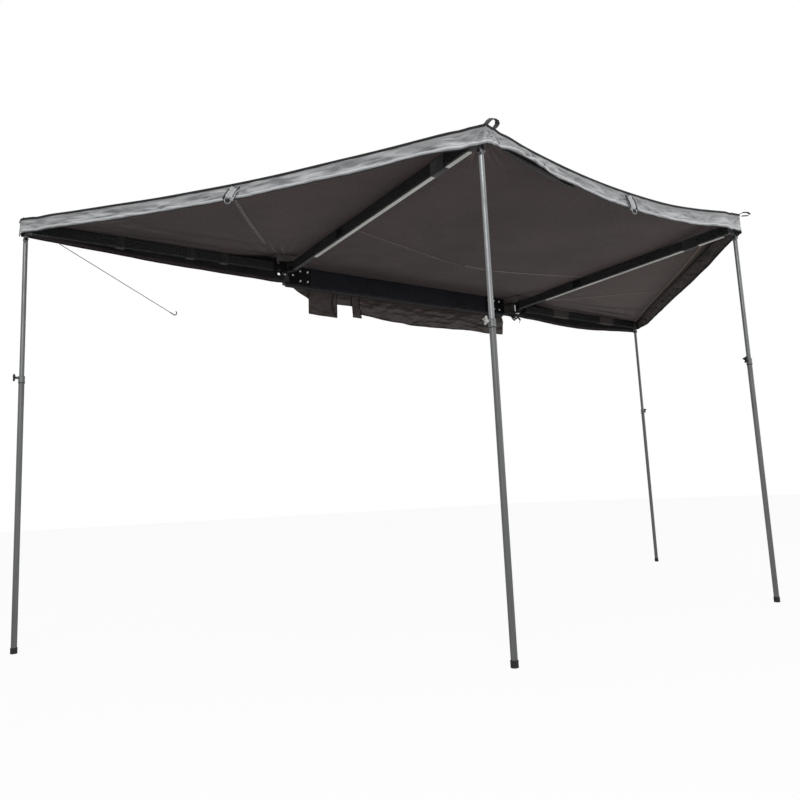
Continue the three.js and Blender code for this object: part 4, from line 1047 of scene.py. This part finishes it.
def makeLegHead(name):
    # flat tang with a round end that turns on a bolt between the fork's cheeks
    along = (1, 0) if name.endswith("mid") else (0, 1)  # direction of the bolt
    axis = Vector((along[0], along[1], 0))
    across = Vector((0, 0, 1)).cross(axis)
    pivot = Vector((legs[name]["at"][0], legs[name]["at"][1], awning["legPivot"]))
    radius, tangFoot = legShape["tang"], legShape["tangFoot"]
    turn = np.linspace(0, np.pi, 25)
    outline = np.column_stack([radius * np.cos(turn), radius * np.sin(turn)])
    outline = np.concatenate([outline, [(-radius, tangFoot), (radius, tangFoot)]])
    rows = []
    for offset, scale in ((-0.0055, 0.94), (-0.005, 1.0), (0.005, 1.0), (0.0055, 0.94)):
        flat = outline * scale
        upright = np.outer(flat[:, 0], across) + np.outer(flat[:, 1], (0, 0, 1))
        rows.append(np.array(pivot) + upright + np.array(axis) * offset)
    head = ringPiece(name + ".head", np.stack(rows), "legAnodised", sharp=35)
    carry(head, name + "_leg_upper")
    frameOfBolt = Matrix.Translation(pivot) @ facing(axis)
    for end, flip in (("near", 1), ("far", -1)):
        turned = frameOfBolt @ Matrix.Diagonal((1, flip, flip, 1))
        cap = turnedPiece(name + "." + end + "Bolt", [
            (0.0049, 0.0), (0.0049, 0.0124), (0.0080, 0.0125), (0.0080, 0.0145), (0.0070, 0.0155),
            (0.0030, 0.0156)],
            24, turned, "bracketCoat")
        carry(cap, name + "_leg_upper")


def makeKnob(name, spec, place):
    # hub, tilted wing with a round lobe at each end, and the threaded boss behind it. The outline reaches from
    # the waist to the lobes by a power of the cosine, and the thickness grows and sweeps out towards them
    shape = legShape
    axis = Vector((spec["knob"][0], spec["knob"][1], 0))
    turned = place @ Matrix.Translation((0, 0, shape["screwHeight"])) @ facing(axis)
    t = circle(72)
    long = shape["lobeAt"] + shape["lobeRadius"]
    waist = shape["waist"]
    endward = np.abs(np.cos(t))
    reach = waist + (long - waist) * endward ** 1.6 - shape["pinch"] * np.exp(-((endward - 0.55) / 0.25) ** 2)
    width = 1.0 - 0.35 * endward ** 8
    outline = np.stack([reach * np.cos(t) * width, reach * np.sin(t) * 1.25], -1)
    tilt = math.radians(shape["tilt"])
    turnFlat = np.array([[np.cos(tilt), -np.sin(tilt)], [np.sin(tilt), np.cos(tilt)]])
    outline = outline[:, ::-1] @ turnFlat.T
    middle = (shape["hubEnd"] - 0.0017 + shape["knobEnd"]) / 2
    half = (shape["knobEnd"] - shape["hubEnd"] + 0.0017) / 2
    rows = []
    length = np.linalg.norm(outline, axis=1)
    away = smoothStep((length - 0.007) / 0.014)
    thick = 1 + 0.2 * away - 0.55 * np.exp(-((length - 0.0095) / 0.0035) ** 2)
    for share in np.linspace(-1, 1, 9):
        scale = 1 - 0.24 * abs(share) ** 3
        flat = outline * scale
        rows.append(np.column_stack([flat, middle + half * share * thick + shape["wingSweep"] * away]))
    knob = ringPiece(name + ".knob", moved(np.stack(rows), turned), spec["finish"], sharp=50, flip=True)
    recalculate(knob)
    hub = turnedPiece(name + ".knobHub", [
        (0.003, 0.0113), (0.003, shape["knobStart"]), (0.0050, shape["knobStart"]),
        (0.0055, shape["knobStart"] + 0.0006), (0.0055, shape["hubEnd"])], 32, turned, spec["finish"])
    carry(hub, name + "_leg_knob")
    boss = turnedPiece(name + ".boss", [
        (0.0065, 0.0134), (0.0065, shape["bossReach"] - 0.0008), (0.0057, shape["bossReach"]),
        (0.0034, shape["bossReach"])],
        32, turned, "legAnodised")
    carry(knob, name + "_leg_knob", name + "_leg_clamp_screw")
    carry(boss, name + "_leg_lower")


def recalculate(piece):
    work = bmesh.new()
    work.from_mesh(piece.data)
    bmesh.ops.remove_doubles(work, verts=work.verts, dist=1e-6)
    bmesh.ops.recalc_face_normals(work, faces=work.faces)
    work.to_mesh(piece.data)
    work.free()


for legName, legSpec in legs.items():
    makeLeg(legName, legSpec)
print("legs made")

# Bands and patches sewn round the arms
bands = {
    "rear_outer": {"along": (-1, 0), "from": (-1.0, -0.2), "length": 1.39, "shares": [0.27, 0.41, 0.68],
                   "width": 0.045, "drop": 0.0, "finish": "webbingBlack"},
    "rear_mid": {"along": (0, -1), "from": (-0.958, -0.2), "length": 1.8, "shares": [0.85], "width": 0.095,
                 "drop": 0.0053, "finish": "webbingBlack"},
    "front_mid": {"along": (0, -1), "from": (0.958, -0.116), "length": 1.8, "shares": [0.85], "width": 0.095,
                  "drop": 0.0053, "finish": "webbingBlack"},
    "front_outer": {"along": (1, 0), "from": (1.0, -0.116), "length": 1.39, "shares": [0.33, 0.72],
                    "width": 0.17, "drop": 0.0, "finish": "patchBrown"},
}
bandShape = {"gap": 0.0005, "thickness": 0.0018, "corner": 0.005}


def makeBand(name, number, spec):
    # a flat strip with rounded edges carried round the tube's section
    half = np.array([awning["armHalfWidth"], awning["armHalfHeight"]]) + bandShape["gap"]
    corner = bandShape["corner"]
    turn = circle(96)
    ring = np.stack([np.sign(np.cos(turn)) * (half[0] - corner), np.sign(np.sin(turn)) * (half[1] - corner)],
                    -1)
    ring = ring + corner * np.stack([np.cos(turn), np.sin(turn)], -1)
    ring[:, 1] -= spec["drop"] * smoothStep(-ring[:, 1] / 0.02)
    ring = np.concatenate([ring, ring[:1]])
    ring = alongPath(ring, 161)[:-1]
    outward = np.roll(ring, -1, 0) - np.roll(ring, 1, 0)
    outward = unit(np.stack([outward[:, 1], -outward[:, 0]], -1))
    width, thick = spec["width"], bandShape["thickness"]
    edge = circle(40)
    alongArm = np.sign(np.cos(edge)) * (width / 2 - thick / 2) + thick / 2 * np.cos(edge)
    proud = thick / 2 + thick / 2 * np.sin(edge)
    proud = proud + 0.0004 * softNoise(alongArm / 0.012 + 8, edge * 0 + number, 5)
    section = np.stack([alongArm, proud], -1)
    alongVector = np.array([*spec["along"], 0.0])
    sideVector = np.array([-alongVector[1], alongVector[0], 0.0])
    centre = np.array([*spec["from"], 0.0]) + alongVector * spec["length"] * spec["shares"][number]
    flat = ring[:, None] + outward[:, None] * section[None, :, 1:]
    points = centre + flat[..., :1] * sideVector + flat[..., 1:] * np.array([0, 0, 1.0])
    points = points + section[None, :, :1] * alongVector
    across = np.append(section[:, 0], section[0, 0]) + width / 2
    reach = np.arange(len(ring) + 1) * (float(np.linalg.norm(ring[1] - ring[0])))
    piece = ringPiece(f"{name}.band{number + 1}", points, spec["finish"],
                      lambda row, column: (reach[row], across[column]), closed=True)
    recalculate(piece)
    carry(piece, name + "_arm", f"{name}_band_{number + 1}")


for bandName, bandSpec in bands.items():
    for bandNumber in range(len(bandSpec["shares"])):
        makeBand(bandName, bandNumber, bandSpec)
print("bands made")

# Storage bag under the beam: strip, flap, strap and the long body, with black binding along their edges
bag = {
    "thickness": 0.0016, "rows": 64, "top": -0.0445, "bindingSides": 10,
    "folds": [(1, 0.07, 1 / 0.08, 1 / 0.045, 5), (0.7, 0.15, -1 / 0.05, 1 / 0.022, 9),
              (0.45, 0.03, 1 / 0.03, 1 / 0.014, 3)],
}
bagSheets = {  # the bindings have the edge that they follow and their radius
    "bagBody": {"node": "storage_bag", "flat": (1.27, 0.16), "depth": 0.0125, "belly": 0.014, "fold": 0.0065,
                "columns": 420, "seed": 100,
                "drops": [(-0.368, 0.132), (-0.28, 0.136), (-0.18, 0.146), (-0.04, 0.157), (0.22, 0.160),
                          (0.42, 0.158), (0.60, 0.148), (0.78, 0.152), (0.914, 0.150)],
                "bindings": {"bagBottomBinding": ("bottom", 0.0026), "bagFrontBinding": ("front", 0.0026),
                             "bagRearBinding": ("rear", 0.0016)}},
    "bagStrip": {"flat": (0.50, 0.078), "area": 0.034, "depth": 0.0095, "belly": 0.003, "fold": 0.003,
                 "columns": 200, "seed": 120,
                 "drops": [(-0.85, 0.006), (-0.80, 0.035), (-0.745, 0.066), (-0.55, 0.078), (-0.35, 0.076)],
                 "bindings": {"bagStripBinding": ("bottom", 0.0018)}},
    "bagFlap": {"node": "storage_bag_flap", "flat": (0.205, 0.170), "depth": 0.0158, "belly": 0.003,
                "fold": 0.0016, "columns": 90, "seed": 140, "drops": [(-0.745, 0.168), (-0.540, 0.168)],
                "bindings": {"flapSeam": ("seam", 0.0030), "flapBottom": ("bottom", 0.0016),
                             "flapRearEdge": ("rear", 0.0022), "flapFrontEdge": ("front", 0.0024)}},
    "bagStrap": {"node": "storage_bag_strap", "flat": (0.062, 0.160), "depth": 0.0158, "belly": 0.002,
                 "fold": 0.0010, "columns": 40, "seed": 160, "slant": 0.06,
                 "drops": [(-0.427, 0.158), (-0.365, 0.158)],
                 "bindings": {"strapFrontEdge": ("besideFront", 0.0030), "strapRearEdge": ("rear", 0.0018)}},
}
flapSeam = {"steps": 60, "inset": 0.014, "bow": 0.022, "depth": 0.0218, "start": 0.004, "shorter": 0.008}


def hangingPoints(spec):
    # a sheet hung from the beam: its belly swells half way down, and folds run down and across it
    places, seed = [place for place, _ in spec["drops"]], spec["seed"]
    s, t = shareGrid(bag["rows"], spec["columns"])
    length = abs(places[-1] - places[0])
    straight = places[0] + (places[-1] - places[0]) * t
    drop = fromTable(spec["drops"], straight[0])[None]
    x = straight + spec.get("slant", 0) * s * drop
    uneven = 0.7 + 0.3 * softNoise(t * length / 0.25, s * 2, seed)
    swell = spec["belly"] * np.sin(np.pi * np.clip(s * 1.1, 0, 1)) * uneven
    folds = foldNoise(bag["folds"], t * length, s * drop, seed + 1)
    y = -spec["depth"] - swell - spec["fold"] * folds * smoothStep(s * 3) * 0.7
    wavy = 1 + 0.03 * softNoise(t * length / 0.11, t * 0 + 2, seed + 4) * smoothStep(s)
    z = bag["top"] - drop * s * wavy
    return together(x, y, z), together(x, drop * s)


def seamPath(spec):
    # the flap's seam, which bows away from its front edge by a sine of the share down it
    front, drop = spec["drops"][-1]
    down = np.linspace(0, 1, flapSeam["steps"])
    x = front - flapSeam["inset"] - flapSeam["bow"] * np.sin(np.pi * np.clip(down * 1.05, 0, 1))
    z = bag["top"] - flapSeam["start"] - (drop - flapSeam["shorter"]) * down
    return together(x, -flapSeam["depth"], z)


def makeBagSheet(name, spec):
    points, uv = hangingPoints(spec)
    piece = sheetPiece(name, points, bag["thickness"], uv, "bagCloth")
    carry(piece, "beam", spec.get("node"))
    edges = {"bottom": points[-1], "front": points[:, -1], "rear": points[:, 0], "seam": seamPath(spec),
             "besideFront": points[:, -1] + np.array([0.002, -0.0005, 0])}
    for title, (edge, radius) in spec["bindings"].items():
        line = tubePiece(title, edges[edge], radius, bag["bindingSides"], "pipingBlack", (0, 1, 0))
        carry(line, "beam")


for sheetName, sheetSpec in bagSheets.items():
    makeBagSheet(sheetName, sheetSpec)

# Keder cord and zip tape along the beam's lower edge, which hold the bag
beamEdge = {
    "inset": 0.004, "steps": 240, "sway": 0.0008, "rows": 9,
    "cords": [("beamKeder", 0.0385, -0.0452, 0.0024), ("bagZipCord", 0.0275, -0.0560, 0.0022)],
    "tapeFrom": -0.0372, "tapeDepth": 0.0085, "tapeTop": -0.0452, "tapeDrop": 0.0105, "tapeWidth": 0.014,
    "tapeThickness": 0.0012,
}


def makeBeamEdge():
    # the tape curves under the beam: its height falls by a sine of the share across it
    reach = awning["beamEnd"] - beamEdge["inset"]
    x = np.linspace(-reach, reach, beamEdge["steps"])
    sway = beamEdge["sway"] * softNoise(x / 0.12 + 20, x * 0 + 3, 170)
    for name, depth, height, radius in beamEdge["cords"]:
        path = np.column_stack([x, -depth + sway, height + sway])
        carry(tubePiece(name, path, radius, 10, "pipingBlack"), "beam")
    s, _ = shareGrid(beamEdge["rows"], 1)
    y = beamEdge["tapeFrom"] + beamEdge["tapeDepth"] * s + sway[None]
    z = beamEdge["tapeTop"] - beamEdge["tapeDrop"] * np.sin(s * np.pi / 2) + sway[None]
    points, uv = together(x[None], y, z), together(x[None], s * beamEdge["tapeWidth"])
    tape = sheetPiece("bagZipTape", points, beamEdge["tapeThickness"], uv, "zipTape")
    carry(tape, "beam")


makeBeamEdge()
print("bag made")

# Cloth covers over the two hinges, and the webbing that hangs by the front one
hinges = {
    "rear": {"side": -1, "reach": 0.2, "fromX": 0.928, "toX": 1.085, "fromY": -0.285, "backDrop": 0.030,
             "joint": "rear_fold"},
    "front": {"side": 1, "reach": 0.116, "fromX": 0.928, "toX": 1.075, "fromY": -0.200, "backDrop": 0.104,
              "joint": "front_fold"},
    "lower": 0.0052, "bend": 0.012, "thickness": 0.0012, "rows": 60, "columns": 40, "clear": 0.004,
    "ripple": 0.0012,
    "webbing": [[(0.991, -0.042, -0.0400), (0.998, -0.056, -0.0560), (1.021, -0.066, -0.0690),
                 (1.044, -0.060, -0.0620),
                 (1.048, -0.054, -0.0480), (1.026, -0.046, -0.0430), (1.004, -0.050, -0.0520)],
                [(0.981, -0.052, -0.0400), (0.976, -0.066, -0.0620), (0.994, -0.070, -0.0850),
                 (1.018, -0.064, -0.0780), (1.026, -0.054, -0.0560), (1.008, -0.048, -0.0420)],
                [(1.036, -0.046, -0.0400), (1.054, -0.058, -0.0560), (1.066, -0.064, -0.0780),
                 (1.060, -0.056, -0.0980)]],
}


def makeHingeCover(name, spec):
    # a strip of cloth just under the canopy, over the hinge, bent down behind it
    s, t = shareGrid(hinges["rows"], hinges["columns"])
    flat = abs(spec["fromY"]) - hinges["clear"]
    bend = hinges["bend"] * np.pi / 2
    length = flat - hinges["bend"] + bend + spec["backDrop"]
    along = s * length
    onTop = np.minimum(along, flat - hinges["bend"])
    turn = np.clip((along - (flat - hinges["bend"])) / hinges["bend"], 0, np.pi / 2)
    down = np.maximum(along - (flat - hinges["bend"]) - bend, 0)
    y = spec["fromY"] + onTop + hinges["bend"] * np.sin(turn)
    x = spec["side"] * (spec["fromX"] + (spec["toX"] - spec["fromX"]) * t)
    top = canopyHeight(x, np.minimum(y, -0.02)) - hinges["lower"]
    ripple = hinges["ripple"] * softNoise(t * 5 + s * 3, s * 9 + 4, 180) * (1 - smoothStep(turn))
    z = top + ripple - hinges["bend"] * (1 - np.cos(turn)) - down
    points, uv = together(x, y, z), together(np.abs(x), along)
    if spec["side"] < 0:
        points, uv = points[:, ::-1], uv[:, ::-1]
    cover = sheetPiece(name + "HingeCover", points[::-1], hinges["thickness"], uv[::-1], "canopyUnder")
    carry(cover, "beam")
    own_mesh(cover)


def makeStrap(name, route, width, thickness, finish, across, body, rounding=0.006, twist=0.0, count=160):
    # a flat strap with rounded edges carried along a route, its width lying across it
    path = alongPath(route, count, rounding)
    tangent = unit(np.gradient(path, axis=0))
    side = np.array(across, float)
    side = unit(side - tangent * (tangent * side).sum(-1, keepdims=True))
    over = np.cross(tangent, side)
    turn = np.linspace(0, twist, count)[:, None]
    side, over = side * np.cos(turn) + over * np.sin(turn), over * np.cos(turn) - side * np.sin(turn)
    edge = circle(20)
    flat = np.sign(np.cos(edge)) * (width - thickness) / 2 + thickness / 2 * np.cos(edge)
    high = thickness / 2 * np.sin(edge)
    points = path[:, None] + flat[None, :, None] * side[:, None] + high[None, :, None] * over[:, None]
    reach, along = distances(path), np.append(flat, flat[0]) + width / 2
    piece = ringPiece(name, points, finish, lambda row, column: (reach[row], along[column]))
    recalculate(piece)
    if body:
        carry(piece, body)
    return piece


for coverName in ("rear", "front"):
    makeHingeCover(coverName, hinges[coverName])
for strapNumber, strapRoute in enumerate(hinges["webbing"]):
    makeStrap(f"hingeWebbing{strapNumber + 1}", strapRoute, 0.014, 0.0014, "webbingBlack", (0.3, 0.2, 1),
              "beam", 0.02, 0.9)
print("hinge covers made")

# Loops at the middle corners, straps with D-rings on the outer edge, and the plastic cap at the rear tip
fittings = {
    "rearLoop": {"panel": "rearMiddle", "width": 0.028, "across": (0, -0.84, -0.54),
                 "route": [(-0.957, -2.032, 0.030), (-0.951, -2.033, 0.044), (-0.937, -2.034, 0.061),
                           (-0.921, -2.034, 0.074), (-0.904, -2.034, 0.079), (-0.892, -2.033, 0.073),
                           (-0.890, -2.032, 0.061), (-0.899, -2.031, 0.047), (-0.909, -2.030, 0.037)]},
    "frontLoop": {"panel": "frontMiddle", "width": 0.018, "across": (0.75, 1, 0.1),
                  "route": [(0.946, -1.958, 0.058), (0.968, -1.972, 0.070), (0.992, -1.985, 0.070),
                            (1.004, -1.992, 0.060), (0.990, -1.986, 0.050), (0.962, -1.968, 0.050)]},
    "rearStrap": {"panel": "rearWing", "share": 0.513, "width": 0.052, "length": 0.040, "slant": 0.036},
    "middleStrap": {"panel": "frontMiddle", "share": 0.076, "width": 0.050, "length": 0.058, "slant": -0.034},
    "strapOut": 0.010, "strapBelow": 0.019, "strapBelly": 0.004, "strapThickness": 0.0030, "border": 0.0034,
    "borderOut": 0.0015, "ringRadius": 0.017, "ringWire": 0.0030,
}


def makeLoop(name, spec):
    loop = makeStrap(name, spec["route"], spec["width"], 0.0022, "webbingBlack", spec["across"], None)
    foldWith(loop, spec["panel"])
    sheetParts[spec["panel"]].append(loop)


def makeRingStrap(name, spec):
    # a doubled strap sewn over the valance, slanting down to a D-ring below its hem
    edge, out = outwardAlong(spec["panel"], valance["columns"])
    column = int(spec["share"] * (valance["columns"] - 1))
    along = unit(np.gradient(edge, axis=0))[column]
    if along[0] < 0:
        along = -along
    away = out[column]
    top = edge[column] + away * fittings["strapOut"] - (0, 0, fittings["strapBelow"])
    rows = []
    for share in np.linspace(0, 1, 8):
        hang = np.array([0, 0, -spec["length"] * share])
        belly = fittings["strapBelly"] * np.sin(share * np.pi)
        rows.append(top + along * (-spec["slant"] * share) + away * belly + hang)
    strap = makeStrap(name, rows, spec["width"], fittings["strapThickness"], "webbingSilver", along, None, 0.01)
    foldWith(strap, spec["panel"])
    pieces = [strap]
    for side in (-1, 1):
        border = np.array(rows) + along * side * spec["width"] / 2 + away * fittings["borderOut"]
        border = alongPath(border, 60, 0.01)
        pieces.append(sewnCord(f"{name}Border{side + 2}", spec["panel"], border, fittings["border"]))
    centre = rows[-1] + np.array([0, 0, -fittings["ringRadius"] * 0.55]) + away * 0.001
    turn = circle(64)
    ring = np.stack([np.cos(turn), np.minimum(np.sin(turn), 0.45)], -1) * fittings["ringRadius"]
    path = centre + ring[:, :1] * along + ring[:, 1:] * np.array([0, 0, 1.0])
    wire = tubePiece(name + "Ring", path, fittings["ringWire"], 12, "ringSteel", tuple(away), True)
    foldWith(wire, spec["panel"])
    sheetParts[spec["panel"]] += pieces + [wire]


makeLoop("rearCornerLoop", fittings["rearLoop"])
makeLoop("frontCornerLoop", fittings["frontLoop"])
makeRingStrap("rearRingStrap", fittings["rearStrap"])
makeRingStrap("middleRingStrap", fittings["middleStrap"])
tipCap = {"half": (0.0135, 0.012, 0.0085), "centre": (-2.394, -0.2, 0.0445), "power": 0.35}


def makeTipCap():
    # a rounded block: each coordinate is a power of a sine or cosine, so that its sides are nearly flat
    def power(v):
        return np.sign(v) * np.abs(v) ** tipCap["power"]

    a = np.linspace(-np.pi / 2, np.pi / 2, 25)[1:-1, None]
    b = circle(48)[None]
    half = tipCap["half"]
    x = half[0] * power(np.cos(a)) * power(np.cos(b))
    y = half[1] * power(np.cos(a)) * power(np.sin(b))
    z = half[2] * power(np.sin(a))
    cap = ringPiece("tipCap", together(x, y, z) + tipCap["centre"], "legAnodised")
    recalculate(cap)
    carry(cap, "rear_outer_arm")


makeTipCap()
print("fittings made")
# Stage: white floor and surroundings, with plain soft light on the object
stage = {"floorSize": 60.0, "surround": 0.55, "floorShade": 0.82, "keyPower": 330.0, "fillPower": 130.0}


def makeStage():
    bpy.ops.mesh.primitive_plane_add(size=stage["floorSize"], location=(0, 0, awning["ground"] - 0.0006))
    floor = bpy.context.active_object
    floor.name = "floor"
    material, tree, shader = newMaterial("paleFloor", 0.9)
    shade = stage["floorShade"]
    shader.inputs["Base Color"].default_value = (shade, shade, shade, 1)
    rays = tree.nodes.new("ShaderNodeLightPath")
    white = addNode(tree, "ShaderNodeEmission", Color=(1, 1, 1, 1), Strength=1.0)
    seen = product(tree, rays.outputs["Is Camera Ray"], 0.92)
    mix = addNode(tree, "ShaderNodeMixShader", i0=seen, i1=shader.outputs[0], i2=white.outputs[0])
    tree.links.new(mix.outputs[0], tree.nodes["Material Output"].inputs["Surface"])
    floor.data.materials.append(material)
    world = bpy.data.worlds.new("plainWhite")
    bpy.context.scene.world = world
    world.use_nodes = True
    tree = world.node_tree
    rays = tree.nodes.new("ShaderNodeLightPath")
    shown = maths(tree, "MAXIMUM", rays.outputs["Is Camera Ray"],
                  maths(tree, "MAXIMUM", rays.outputs["Is Glossy Ray"],
                                                                        rays.outputs["Is Transmission Ray"]))
    strength = ranged(tree, shown, stage["surround"], 1.0, 0.0, 1.0)
    background = tree.nodes["Background"]
    background.inputs["Color"].default_value = (1, 1, 1, 1)
    tree.links.new(strength, background.inputs["Strength"])
    for name, place, target, size, power in (
            ("keyLamp", (-5.2, -6.5, 2.6), (0, -1.0, -0.4), 3.5, stage["keyPower"]),
            ("fillLamp", (4.5, -7.0, 1.0), (0.5, -1.0, -0.6), 4.0, stage["fillPower"])):
        lamp = bpy.data.lights.new(name, "AREA")
        lamp.shape = "DISK"
        lamp.size = size
        lamp.energy = power
        holder = bpy.data.objects.new(name, lamp)
        aim = Vector(target) - Vector(place)
        holder.matrix_world = Matrix.Translation(place) @ facing(aim, "-Z")
        bpy.context.scene.collection.objects.link(holder)
    bpy.context.scene.view_settings.view_transform = "Standard"


makeStage()
print("stage made")
